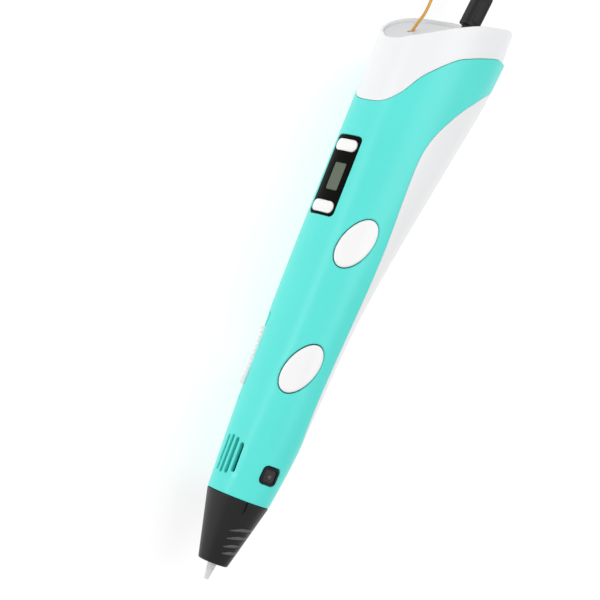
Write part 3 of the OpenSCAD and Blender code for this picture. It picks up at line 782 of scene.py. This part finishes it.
# The plug leans back by its tilt; its heights are measured along its axis from PLUG_Z.
PLUG_TILT = math.radians(7)
PLUG_Z = 178.0
PLUG_ORIGIN = np.array([-16.6, 0, PLUG_Z])
PLUG_AXIS = np.array([-math.sin(PLUG_TILT), 0, math.cos(PLUG_TILT)])
PLUG_X = np.array([math.cos(PLUG_TILT), 0, math.sin(PLUG_TILT)])
PLUG_Y = np.array([0.0, 1.0, 0.0])
PLUG_PLANE = (PLUG_ORIGIN, PLUG_X, PLUG_Y, PLUG_AXIS)

# ------------------------------------------------------------------ teal front shell
back_seam = side_curve(BACK_SEAM, PI)
VENT_PITCH = 2.15
VENTS = [(-1.5, 10.6), (-0.5, 11.4), (0.5, 10.8), (1.5, 8.8)]  # place in pitches, length


def build_front_shell():
    nose_edge = np.stack([np.linspace(-PI, PI, 97), np.full(97, NOSE_END + 0.12)], -1)
    edges = [
        Edge(nose_edge, 1, 0.35),
        Edge(back_seam, -1, SEAM_RADIUS, gap=SEAM),
        Edge(all_round(side_curve(CAP_SEAM, 0.0)), 1, SEAM_RADIUS, gap=SEAM),
        Edge(mirror(back_seam), 1, SEAM_RADIUS, gap=SEAM),
    ]
    for row, length in VENTS:
        plane = facing(0, 36, row * VENT_PITCH + 0.6)
        edges.append(hole(plane, rounded_rect(length, 1.2, 0.58, 60), 0.32))
    edges.append(hole(LATCH_PLANE, rounded_rect(5.6, 6.2, 1.5, 72), 0.4))
    for plane in (EXTRUDE_PLANE, RETRACT_PLANE):
        edges.append(hole(plane, oval(17.1, 9.5, 110), 0.45, draft=0.4))
    edges.append(hole(PANEL_PLANE, rounded_rect(24.8, 11.5, 1.4), 0.35))
    edges.append(hole(SLIDER_PLANE, rounded_rect(27, 5.6, 0.6, 110), 0.3))
    route = [(0, False, PI), (1, True, PI), (2, False, -PI), (3, False, -PI)]
    soup = patch(edges, route)
    # Floor of the slider's pocket, with the slot for the slider's neck.
    plate(soup, SLIDER_PLANE, rounded_rect(27.6, 6.2, 0.8, 90), 9.2, 10.35, radius=0.1,
          holes=[rounded_rect(13.2, 2.6, 1.2, 60)])
    soup.piece("casing_front", TEAL, "casing", "teal_shell", "front_shell", SHELL_WELD)


build_front_shell()

# ------------------------------------------------------------------ rear cap
rim_edge = all_round(side_curve(RIM, 0.0, cap=True))


def build_cap():
    seam = all_round(side_curve(CAP_SEAM, 0.0, cap=True))[::-1]
    edges = [Edge(seam, 1, SEAM_RADIUS, gap=SEAM), Edge(rim_edge, 1, 0.42, depth=0.85)]
    soup = patch(edges, [(0, False, PI), (1, False, -PI)], depth=1.0, cap=True)
    soup.piece("rear_cap_shell", WHITE, "casing", "white_shell", "rear_cap", SHELL_WELD)


build_cap()

rim_x, rim_z = catmull(RIM)[::-1].T


def dish_z(x, y):
    """Height of the dished rear face, with a shallow pocket for the end of the plug."""
    bowl = 0.55 * np.clip(1 - ((x + 11) / 20) ** 2 - (y / 13.5) ** 2, 0, 1) ** 0.8
    z = np.interp(x, rim_x, rim_z) - LIP - bowl
    a = (x + 16.83) / math.cos(PLUG_TILT)
    corner = (np.abs(a) + np.abs(y) - 4.75) * 0.707
    outside = np.maximum(np.abs(a) - 3.4, np.maximum(np.abs(y) - 2.4, corner))
    share = np.clip(1 - outside / 0.6, 0, 1)
    return z - np.maximum(0, z - (179.86 + a * math.sin(PLUG_TILT))) * share


def dish_points(points, drop):
    return np.column_stack([points, dish_z(*points.T) - drop])


def dish_normals(points):
    x, y = points.T
    h = 1e-3
    by_x = (dish_z(x + h, y) - dish_z(x - h, y)) / (2 * h)
    by_y = (dish_z(x, y + h) - dish_z(x, y - h)) / (2 * h)
    return unit(np.stack([-by_x, -by_y, np.ones(len(points))], -1))


def build_dish(thick=1.5, radius=0.12, grid=0.6):
    """Rear face inside the rim, with round holes for the filament and the plug."""
    angle, z = rim_edge[:-1, 0], rim_edge[:-1, 1] - 1.4
    outer = (surf(angle, z, True) - normal(angle, z, True) * 0.92)[:, :2]
    filament_hole = oval(2.4, 2.4, 48) + np.array([3.05, 0])
    plug_hole = oval(4.2, 4.2, 48) + np.array([-16.72, 0])
    soup = Soup()
    tops, feet, top_ids, foot_ids = [], [], [], []
    for k, loop in enumerate((outer, filament_hole, plug_hole)):
        loop = anticlockwise(loop)
        inner = inward(loop) * (-1 if k else 1)
        top = loop + inner * radius
        ids = soup.add(dish_points(top, 0), dish_normals(top))
        up = dish_normals(loop)
        foot = dish_points(loop, thick)
        soup.edge_wall(
            ids, lambda inset, drop: dish_points(loop + inner * inset, drop), foot,
            up, np.column_stack([inner, np.zeros(len(loop))]), radius, k == 0, steps=3,
        )
        tops.append(top)
        feet.append(loop)
        top_ids.append(ids)
        foot_ids.append(soup.add(foot, -up))
    for loops, ids, drop, sign in ((tops, top_ids, 0, 1), (feet, foot_ids, thick, -1)):
        border = np.concatenate(loops)
        low, high = border.min(0) + grid / 2, border.max(0)
        rows = np.meshgrid(np.arange(low[0], high[0], grid), np.arange(low[1], high[1], grid))
        extra = np.stack(rows, -1).reshape(-1, 2)
        extra = extra[inside(extra, loops)]
        extra = extra[clear_of(extra, border, 0.45 * grid)]
        ids.append(soup.add(dish_points(extra, drop), dish_normals(extra) * sign))
        soup.fill(loops, ids, down=sign < 0, extra=extra)
    # The dish takes the greyer white, a painted shade.
    soup.piece("rear_dish", SHADED_REAR_FACE, "casing", "white_shell")


build_dish()


# ------------------------------------------------------------------ white back shell
def build_back_shell():
    other = np.stack([2 * PI - back_seam[::-1][:-1, 0], back_seam[::-1][:-1, 1]], -1)
    edges = [Edge(np.vstack([back_seam[:-1], other]), 1, SEAM_RADIUS, True, gap=SEAM)]
    screw_heights = (48, 79)
    for z in screw_heights:
        edges.append(hole(facing(180, z), oval(3.5, 3.5, 40), 0.2, depth=1.4))
    soup = patch(edges)
    # Pierced seats under the two round holes.
    for z in screw_heights:
        face = -float(x_back(z))
        plate(soup, facing(180, z), oval(4.6, 4.6, 40), face - 2.4, face - 1.32, radius=0.1,
              holes=[oval(1.9, 1.9, 32)])
    soup.piece("casing_back", WHITE, "casing", "white_shell", "back_shell", SHELL_WELD)


build_back_shell()

# ------------------------------------------------------------------ oval keys
# key, plane, length, width, distance of the face from the pen's axis
OVAL_KEYS = [
    ("extrude", EXTRUDE_PLANE, 16.5, 8.86, 11.75),
    ("retract", RETRACT_PLANE, 16.6, 8.98, 12.55),
]
for key, plane, length, width, face in OVAL_KEYS:
    loop = loop_on_body(plane, oval(length, width))
    key_edge = Edge(loop, -1, 0.75, True, draft=0.6)
    soup = patch([key_edge], lift=0.47, depth=2.1, grid=0.8, steps=8)
    add_stem(soup, plane, radius=1.2, low=6.86, high=face - 2.2, count=32)
    soup.piece(f"{key}_key_cap", KEY_WHITE, f"{key}_key", "white_key", f"{key}_button")


# ------------------------------------------------------------------ display
def build_display():
    loop = loop_on_body(PANEL_PLANE, rounded_rect(24.6, 11.3, 1.3, 140))
    edges = [
        Edge(loop, -1, 0.28, True),
        hole(WINDOW_PLANE, rounded_rect(8.5, 5.2, 0.4, 80), 0.18),
    ]
    for plane in (TEMP_DOWN_PLANE, TEMP_UP_PLANE):
        edges.append(hole(plane, rounded_rect(3.9, 9.8, 1.8, 80), 0.14))
    soup = patch(edges, lift=0.08, depth=1.7, grid=0.9)
    soup.piece("display_bezel_gloss", PANEL, "casing", "display_panel", "display_bezel")
    soup = Soup()
    plate(soup, WINDOW_PLANE, rounded_rect(8.4, 5.1, 0.35, 60), 8.2, 9.6, radius=0.08)
    soup.piece("display_window_glass", LCD, "casing", "display_glass", "display_window")


build_display()

for key, plane in (("temp_up", TEMP_UP_PLANE), ("temp_down", TEMP_DOWN_PLANE)):
    loop = loop_on_body(plane, rounded_rect(3.64, 9.46, 1.7, 90))
    key_edge = Edge(loop, -1, 0.5, True, draft=0.35)
    soup = patch([key_edge], lift=0.4, depth=1.9, grid=0.6, steps=7)
    add_stem(soup, plane, radius=0.7, low=6.76, high=8.4, count=28)
    soup.piece(f"{key}_cap", KEY_WHITE, f"{key}_key", "white_key", f"{key}_button")


# ------------------------------------------------------------------ nose latch
def build_latch():
    """Crowned frame on the key side, with a sunk floor and a round pip on it."""
    soup = Soup()
    plate(soup, LATCH_PLANE, rounded_rect(5.2, 5.8, 1.35, 80), 5.7, 10.2, radius=0.35,
          holes=[rounded_rect(3.7, 4.3, 0.8, 60)], hole_radius=0.2,
          shape=lambda u, v: -0.012 * v * v - 0.006 * u * u)
    soup.piece("latch_button", LATCH, "latch", "black_plastic", "nose_latch")
    soup = Soup()
    plate(soup, LATCH_PLANE, rounded_rect(3.9, 4.5, 0.85, 60), 6.2, 9.62, radius=0.05)
    soup.piece("latch_floor", LATCH_FLOOR, "latch", "black_plastic")
    soup = Soup()
    profile = [
        (0, 9.4), (0.9, 9.4), (0.9, 9.64), (0.84, 9.8), (0.72, 9.94), (0.5, 10.04),
        (0.25, 10.09), (0, 10.1),
    ]
    revolve(soup, facing(90, 33.9), profile, count=32, sharp=50)
    soup.piece("latch_pip", LATCH_PIP, "latch", "black_plastic")


build_latch()

# ------------------------------------------------------------------ speed slider
SLIDER_HALF = 9.0
SLIDER_BASE = 10.45  # distance of its underside from the pen's axis
RIB_PITCH = 1.4
RIB_SIDE = [(0.44, -0.43), (0.40, -0.30), (0.34, -0.10), (0.26, -0.03), (0.14, 0)]  # u, height
SLIDER_SIDE = [(2.5, 0.34), (2.46, 0.2), (2.38, 0.09), (2.25, 0.02), (2.1, 0), (1.0, 0)]  # v, drop


def slider_profile():
    """Top line of the ribbed saddle: (u, height) pairs."""

    def saddle(u):
        return 1.1 + 0.55 * (u / SLIDER_HALF) ** 2

    end = saddle(SLIDER_HALF)
    rib = [(-u, h) for u, h in RIB_SIDE] + RIB_SIDE[::-1]
    points = [(-SLIDER_HALF, end - 0.75), (-8.93, end - 0.58)]
    for i in range(-6, 7):
        centre = i * RIB_PITCH
        points += [(centre + u, saddle(centre + u) + h) for u, h in rib]
        if i < 6:
            points += [(centre + u, saddle(centre + u) - 0.46) for u in (0.58, 0.7, 0.82)]
    return points + [(8.93, end - 0.58), (SLIDER_HALF, end - 0.75)]


def build_slider():
    origin, u, v, out = SLIDER_PLANE
    profile = slider_profile()
    sections = [(-side, drop) for side, drop in SLIDER_SIDE] + [(0, 0)] + SLIDER_SIDE[::-1]
    n, count = len(profile), len(sections)
    points, faces = [], []
    for side, drop in sections:
        for along, h in profile:
            height = SLIDER_BASE + max(h - drop, 0.2)
            points.append(origin + u * along + v * side + out * height)
    for side in (-2.5, 2.5):
        points += [origin + u * along + v * side + out * SLIDER_BASE for along, _ in profile]
    for a in range(count - 1):
        for i in range(n - 1):
            faces.append((a * n + i, a * n + i + 1, (a + 1) * n + i + 1, (a + 1) * n + i))
    last, left, right = (count - 1) * n, count * n, (count + 1) * n
    for i in range(n - 1):
        faces.append((left + i, left + i + 1, i + 1, i))
        faces.append((last + i, last + i + 1, right + i + 1, right + i))
        faces.append((right + i, right + i + 1, left + i + 1, left + i))
    for i in (0, n - 1):
        end = [a * n + i for a in range(count)] + [right + i, left + i]
        faces.append(tuple(end if i else end[::-1]))
    # Neck that reaches down through the slot.
    q = len(points)
    for along, side in ((-1.4, -1.1), (1.4, -1.1), (1.4, 1.1), (-1.4, 1.1)):
        points += [origin + u * along + v * side + out * height for height in (5.7, 10.6)]
    faces += [
        (q, q + 2, q + 3, q + 1), (q + 2, q + 4, q + 5, q + 3), (q + 4, q + 6, q + 7, q + 5),
        (q + 6, q, q + 1, q + 7), (q, q + 6, q + 4, q + 2), (q + 1, q + 3, q + 5, q + 7),
    ]
    mesh = creased_mesh("speed_slider_ribbed", points, faces, 26)
    edit = bmesh.new()
    edit.from_mesh(mesh)
    bmesh.ops.recalc_face_normals(edit, faces=edit.faces)
    edit.to_mesh(mesh)
    edit.free()
    add_piece("speed_slider_ribbed", mesh, KEY_WHITE, "slider", "speed_slider")


build_slider()

# ------------------------------------------------------------------ nose cone
CONE_START, CONE_RADIUS = 5.1, 4.45
# Ribs on both sides: (z, degrees from the display side) at the start, middle and end.
RIBS = [
    ((15.71, 58.8), (16.84, 84.3), (17.79, 122.7)),
    ((13.3, 59.8), (14.28, 84.0), (15.11, 118.8)),
    ((10.76, 60.0), (11.54, 81.4), (12.23, 108.4)),
    ((8.74, 64.5), (9.45, 87.2), (10.03, 121.0)),
]
GROOVE = ((24.16, 69.6), (21.69, 71.6))  # (z, degrees) at its rear and front
CONE_BORE = [(8.3, 25.0), (6.72, 25.0), (6.5, 23.5), (3.15, 6.5), (1.75, 6.5), (1.75, 5.1)]


def nose_angles():
    """Degrees round the nose, closer together across the ribs."""
    angles, t = [], -180.0
    while t < 180 - 1e-6:
        angles.append(t)
        t += 0.9 if 52 <= abs(t) < 129 else 3.0
    return np.array(angles)


def rib_height(z, degrees):
    """Height of the ribs above the cone, and whether each point is on a rib."""
    height = np.zeros(np.shape(z))
    on_rib = np.zeros(np.shape(z), bool)
    turn = np.abs(degrees)
    for rib in RIBS:
        heights, angles = zip(*rib)
        along = (turn - angles[0]) / (angles[2] - angles[0])
        live = (along > 0) & (along < 1)
        half = 0.52 * np.clip(1 - (2 * np.clip(along, 0, 1) - 1) ** 2, 0, 1) ** 0.7
        across = (z - np.interp(turn, angles, heights)) / np.maximum(half, 0.02)
        swell = np.clip(1 - np.abs(across) ** 2.5, 0, 1) ** 0.6
        swell = np.where(live, swell * np.minimum(1, half / 0.35), 0)
        height = np.maximum(height, 0.34 * swell)
        on_rib |= live & (np.abs(across) < 1) & (half > 0.08)
    return height, on_rib


def build_nose():
    degrees = nose_angles()
    heights = np.concatenate([
        [CONE_START, 5.14, 5.22, 5.34, 5.5], np.arange(5.7, 8.1, 0.3),
        np.arange(8.1, 18.6, 0.13), np.arange(18.7, 24.6, 0.3),
        [24.7, 24.82, 24.91, 24.97, NOSE_END],
    ])
    # Rounded front and rear edges.
    inset = np.zeros(len(heights))
    inset[:5] = [0.42, 0.24, 0.11, 0.03, 0.0]
    inset[-5:] = [0.0, 0.01, 0.04, 0.1, 0.2]
    z, turn = np.meshgrid(heights, degrees, indexing="ij")
    along = (z - CONE_START) / (NOSE_END - CONE_START)
    radius = CONE_RADIUS + (NOSE_RADIUS - CONE_RADIUS) * along - inset[:, None]
    relief, on_rib = rib_height(z, turn)
    (rear_z, rear_angle), (front_z, front_angle) = GROOVE
    groove = rear_angle + (rear_z - z) * (front_angle - rear_angle) / (rear_z - front_z)
    for sign in (1, -1):
        away = np.abs(turn - sign * groove) * PI / 180 * radius
        depth = np.clip(1 - (away / 0.38) ** 4, 0, 1) * np.clip((z - 21.6) / 0.15, 0, 1)
        relief = relief - 0.55 * depth
    radius = radius + relief
    cos, sin = np.cos(np.radians(degrees)), np.sin(np.radians(degrees))
    points = [np.stack([radius * cos, radius * sin, z], -1).reshape(-1, 3)]
    for bore, height in CONE_BORE:
        points.append(np.stack([bore * cos, bore * sin, np.full(len(cos), height)], -1))
    points = np.concatenate(points)
    n = len(degrees)
    rows = len(points) // n
    faces, finishes = [], []
    for i in range(rows):
        j = (i + 1) % rows
        for k in range(n):
            k2 = (k + 1) % n
            faces.append((i * n + k, i * n + k2, j * n + k2, j * n + k))
            # Faces on the ribs take the lighter grey, a painted highlight.
            ribbed = i < len(heights) - 1 and on_rib[i, k] and on_rib[i + 1, k2]
            finishes.append(1 if ribbed else 0)
    mesh = creased_mesh("nose_cone_ribbed", points, faces, 32)
    mesh.polygons.foreach_set("material_index", finishes)
    add_piece("nose_cone_ribbed", mesh, BLACK, "casing", "nose_cone")
    mesh.materials.append(RIB_HIGHLIGHT)


def build_spigot(n=120):
    """Ring that plugs into the casing, open behind the vents and the latch."""
    heights = np.concatenate([[24.4], np.arange(25, 43.01, 0.5)])
    angles = np.arange(n) * 2 * PI / n
    rows = len(heights)
    middle = angles + PI / n
    x, y = 7.2 * np.cos(middle), 7.2 * np.sin(middle)
    z = ((heights[:-1] + heights[1:]) / 2)[:, None]
    vent_gap = (np.abs(y - 0.6) < 4.2) & (x > 0) & (abs(z - 36) < 6.0)
    latch_gap = (np.abs(x) < 3.2) & (y > 0) & (abs(z - 34.2) < 3.0)
    keep = ~vent_gap & ~latch_gap
    points = [
        (radius * math.cos(t), radius * math.sin(t), height)
        for radius in (7.7, 6.7) for height in heights for t in angles
    ]

    def quad(*corners):
        """Face from (wall, row, column) corners; wall 0 is the outer one."""
        faces.append(tuple((wall * rows + i) * n + k % n for wall, i, k in corners))

    faces = []
    for i in range(rows - 1):
        for k in range(n):
            if not keep[i, k]:
                continue
            quad((0, i, k), (0, i, k + 1), (0, i + 1, k + 1), (0, i + 1, k))
            quad((1, i, k), (1, i + 1, k), (1, i + 1, k + 1), (1, i, k + 1))
            if i == 0 or not keep[i - 1, k]:
                quad((0, i, k), (1, i, k), (1, i, k + 1), (0, i, k + 1))
            if i == rows - 2 or not keep[i + 1, k]:
                quad((0, i + 1, k), (0, i + 1, k + 1), (1, i + 1, k + 1), (1, i + 1, k))
            if not keep[i, (k - 1) % n]:
                quad((0, i, k), (0, i + 1, k), (1, i + 1, k), (1, i, k))
            if not keep[i, (k + 1) % n]:
                quad((0, i, k + 1), (1, i, k + 1), (1, i + 1, k + 1), (0, i + 1, k + 1))
    used = sorted({i for face in faces for i in face})
    new = {old: i for i, old in enumerate(used)}
    faces = [tuple(new[i] for i in face) for face in faces]
    mesh = creased_mesh("nose_spigot", [points[i] for i in used], faces, 32)
    add_piece("nose_spigot", mesh, BLACK, "casing")


build_nose()
build_spigot()

# ------------------------------------------------------------------ ceramic nozzle
NOZZLE = [  # radius, z
    (0.35, 1.6), (0.35, 0.06), (0.38, 0.0), (0.56, 0.0), (0.62, 0.03), (0.66, 0.1),
    (1.34, 4.55), (1.4, 4.9), (1.6, 5.5), (1.6, 12), (2.7, 12), (2.7, 14), (1.05, 14),
    (1.05, 3), (0.35, 1.6),
]
soup = Soup()
revolve(soup, PEN_PLANE, NOZZLE, count=72, sharp=30)
soup.piece("nozzle_ceramic", CERAMIC, "casing", "ceramic", "nozzle")

# ------------------------------------------------------------------ power plug and cable
PLUG_HALF_X, PLUG_HALF_Y = 3.1, 2.1
PLUG_LEVELS = [  # height, inset
    (180.2, 0.14), (180.24, 0.06), (180.34, 0.0), (181.3, 0.0), (181.38, 0.09), (181.62, 0.09),
    (181.7, 0.0), (190.6, 0.0), (191.4, 0.1), (191.85, 0.35), (192.1, 0.75), (192.2, 1.0),
]


def build_plug_body():
    """Eight-sided body with a groove near its front and a domed rear end."""
    a, b = PLUG_HALF_X, PLUG_HALF_Y
    corners = [(a, -1.2), (a, 1.2), (2.2, b), (-2.2, b), (-a, 1.2), (-a, -1.2), (-2.2, -b), (2.2, -b)]
    section = rounded_polygon(corners, 0.28)
    points, faces = [], []
    for height, inset in PLUG_LEVELS:
        if inset > 0.3:
            loop = section * np.array([1 - inset / PLUG_HALF_X, 1 - inset / PLUG_HALF_Y])
        else:
            loop = section + inward(section) * inset
        points.append(on_plane(PLUG_PLANE, loop, height - PLUG_Z))
    n, levels = len(section), len(PLUG_LEVELS)
    for i in range(levels - 1):
        for k in range(n):
            k2 = (k + 1) % n
            faces.append((i * n + k, i * n + k2, (i + 1) * n + k2, (i + 1) * n + k))
    faces.append(tuple(range(n))[::-1])
    faces.append(tuple(range((levels - 1) * n, levels * n)))
    mesh = creased_mesh("plug_overmould", np.concatenate(points), faces, 24)
    add_piece("plug_overmould", mesh, PLUG, "plug", "plug_body")


def build_plug_grips():
    """Raised frame on each of the two wide faces of the plug."""
    middle = np.array([7.9, 0])
    for sign, name in ((1, "plug_grip_key_side"), (-1, "plug_grip_back")):
        soup = Soup()
        plate(soup, (PLUG_ORIGIN, PLUG_AXIS, PLUG_X, PLUG_Y * sign),
              rounded_rect(7.8, 3.5, 0.5, 64) + middle, 1.9, 2.2, radius=0.08,
              holes=[rounded_rect(7.0, 2.7, 0.35, 56) + middle], hole_radius=0.06)
        soup.piece(name, PLUG, "plug", "cable_black")


def strain_relief():
    """Tapered sleeve with a groove after each of six bands, as (radius, height) pairs."""
    profile = [(1.3, 191.5), (1.95, 191.5), (2.1, 191.9)]
    # Rise and depth of the points of one band and its groove.
    band = [(0, 0), (0.5, 0.03), (0.62, 0.1), (0.7, 0.32), (1.0, 0.32), (1.08, 0.1)]
    for i in range(6):
        height = 192.4 + 1.2 * i
        radius = 2.1 - 0.4 * (height - 192.2) / 8
        profile += [(radius - depth, height + rise) for rise, depth in band]
    return profile + [(1.66, 199.7), (1.6, 200.05), (1.46, 200.2), (1.3, 200.2), (1.3, 191.5)]


def build_plug_turning(name, profile, count, finish, slot, replaces=None, sharp=25):
    soup = Soup()
    profile = [(radius, height - PLUG_Z) for radius, height in profile]
    revolve(soup, PLUG_PLANE, profile, count, sharp)
    soup.piece(name, finish, "plug", slot, replaces)


CABLE_PROFILE = [
    (0, 192.15), *[(1.27, 192.15 + i * 0.6) for i in range(40)],
    (1.25, 216.0), (1.18, 216.08), (0.62, 216.08), (0.62, 216.0), (0, 216.0),
]
COLLAR = [(1.76, 178.3), (1.9, 178.3), (1.95, 178.4), (1.95, 180.3), (1.76, 180.3), (1.76, 178.3)]
SLEEVE = [
    (0.7, 167.02), (1.58, 167.02), (1.7, 167.1), (1.75, 167.28), (1.75, 170.0), (1.66, 170.1),
    (1.66, 170.4), (1.75, 170.5), (1.75, 180.0), (0.7, 180.0), (0.7, 167.02),
]

build_plug_body()
build_plug_grips()
build_plug_turning("plug_strain_relief", strain_relief(), 56, PLUG, "cable_black", sharp=35)
build_plug_turning("power_cable_jacket", CABLE_PROFILE, 40, CABLE, "cable_black", "power_cable",
                   sharp=35)
build_plug_turning("plug_collar", COLLAR, 48, PLUG, "cable_black")
build_plug_turning("plug_sleeve_metal", SLEEVE, 48, STEEL, "steel", "plug_sleeve", sharp=35)

# ------------------------------------------------------------------ filament strand
STRAND = [  # x, y, z
    [2.75, 0, 162.5], [2.95, 0, 168.0], [3.05, 0.1, 170.5], [2.7, 0.9, 173.6],
    [2.15, 1.45, 176.6], [2.0, 1.75, 181.5], [2.3, 1.9, 189.0], [3.0, 1.9, 198.0],
]


def build_strand(radius=0.47, sides=18, step=0.5):
    curve = catmull(STRAND, 24)
    lengths = arc_lengths(curve)
    where = np.linspace(0, lengths[-1], max(8, int(lengths[-1] / step)))
    curve = sample(curve, lengths, where)
    tangents = unit(np.gradient(curve, axis=0))
    angles = np.arange(sides) / sides * 2 * PI
    soup = Soup()
    rings = []
    for i, (centre, tangent) in enumerate(zip(curve, tangents)):
        across = unit(np.cross(tangent, np.array([0, 1.0, 0])))
        other = np.cross(tangent, across)
        spokes = np.cos(angles)[:, None] * across + np.sin(angles)[:, None] * other
        rings.append(soup.add(centre + spokes * radius, spokes))
        if i:
            soup.strip(rings[-2], rings[-1])
        if i in (0, len(curve) - 1):
            end = soup.add(centre + spokes * radius, tangent * (1 if i else -1))
            soup.faces.append(tuple(end if i else end[::-1]))
    soup.piece("filament_strand", FILAMENT, "casing", "nylon")


build_strand()

# ------------------------------------------------------------------ finishes of the CAD pieces
FINISHES = [
    (STEEL, "heater_tube hobbed_wheel idler_bearing idler_pins feed_motor slide_pot jack_pin"
            " case_screws"),
    (DARK, "hotend_holder extruder_frame idler_arm gearbox_housing lcd_module"),
    (CHIP, "thermistor board_chips panel_switches key_switches power_jack"),
    (BOARD, "main_board key_boards"),
    (PTFE, "feed_tube inlet_tube"),
    (RED_WIRE, "heater_wires motor_wires"),
    (COPPER, "heater_winding"),
    (WEAVE, "insulation_sleeve"),
    (NYLON, "drive_gear"),
    (SPRING, "idler_spring"),
    (BRASS, "motor_pinion"),
    (LCD, "display_window"),
]
finish_of = {name: finish for finish, names in FINISHES for name in names.split()}
for name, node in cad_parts.items():
    if name in finish_of:
        node.data.materials.clear()
        node.data.materials.append(finish_of[name])


# ------------------------------------------------------------------ floor and world (metres)
def build_floor(half=3.0):
    """Glowing floor under the pen, clear when seen from below."""
    z = float(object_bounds()[0][2])
    mesh = bpy.data.meshes.new("floor")
    corners = [(-half, -half, z), (half, -half, z), (half, half, z), (-half, half, z)]
    mesh.from_pydata(corners, [], [(0, 1, 2, 3)])
    mesh.update()
    floor = bpy.data.objects.new("floor", mesh)
    bpy.context.scene.collection.objects.link(floor)
    finish = bpy.data.materials.new("floor")
    finish.use_nodes = True
    tree = finish.node_tree
    bsdf = tree.nodes["Principled BSDF"]
    set_inputs(tree, bsdf, Base_Color=(0.26, 0.26, 0.26, 1), Emission_Color=(1, 1, 1, 1),
               Emission_Strength=0.79, Roughness=0.75, Specular_IOR_Level=0.2)
    below = add_node(tree, "NewGeometry").outputs["Backfacing"]
    mix = add_node(tree, "MixShader", Fac=below)
    connect(tree, mix.inputs[1], bsdf.outputs["BSDF"])
    connect(tree, mix.inputs[2], add_node(tree, "BsdfTransparent").outputs["BSDF"])
    set_inputs(tree, tree.nodes["Material Output"], Surface=mix.outputs["Shader"])
    mesh.materials.append(finish)


build_floor()
scene = bpy.context.scene
scene.view_settings.view_transform = "Standard"
world = bpy.data.worlds.new("studio")
scene.world = world
world.use_nodes = True
set_inputs(world.node_tree, world.node_tree.nodes["Background"], Color=(1.0, 1.0, 1.0, 1),
           Strength=0.56)

# ------------------------------------------------------------------ camera (metres)
TARGET = Vector((0.092, 0.0, 0.0))
CAMERA_DISTANCE = 0.56
AZIMUTH = math.radians(40)  # from Z towards Y
ELEVATION = math.radians(-4)  # towards +X
ROLL = math.radians(21.4)

towards = Vector((
    math.sin(ELEVATION),
    math.cos(ELEVATION) * math.sin(AZIMUTH),
    math.cos(ELEVATION) * math.cos(AZIMUTH),
))
pen = Vector((1, 0, 0))
level = (pen - towards * pen.dot(towards)).normalized()
down = level.cross(towards)
up = level * math.cos(ROLL) - down * math.sin(ROLL)
right = level * math.sin(ROLL) + down * math.cos(ROLL)


def build_camera():
    data = bpy.data.cameras.new("camera")
    data.sensor_width = 36
    data.lens = 115.25
    data.shift_x = -0.037
    data.shift_y = -0.0298
    data.clip_start = 0.01
    data.clip_end = 20
    camera = bpy.data.objects.new("camera", data)
    scene.collection.objects.link(camera)
    pose = Matrix.Identity(4)
    for i in range(3):
        pose[i][0], pose[i][1], pose[i][2] = right[i], up[i], towards[i]
    pose.translation = TARGET + towards * CAMERA_DISTANCE
    camera.matrix_world = pose
    scene.camera = camera


build_camera()


# ------------------------------------------------------------------ lights
def area_light(name, place, size, power):
    """Square soft box aimed at the pen; place is along the camera's right, up and towards it."""
    data = bpy.data.lights.new(name, "AREA")
    data.energy = power
    data.shape = "RECTANGLE"
    data.size = size
    data.size_y = size
    light = bpy.data.objects.new(name, data)
    scene.collection.objects.link(light)
    position = TARGET + right * place[0] + up * place[1] + towards * place[2]
    light.location = position
    light.rotation_euler = (TARGET - position).to_track_quat("-Z", "Y").to_euler()


area_light("key", place=(-0.85, 0.35, 0.65), size=0.6, power=5.0)
area_light("fill", place=(0.9, 0.0, 0.6), size=0.9, power=4.2)
area_light("top", place=(0.0, 0.2, 1.3), size=1.2, power=2.2)
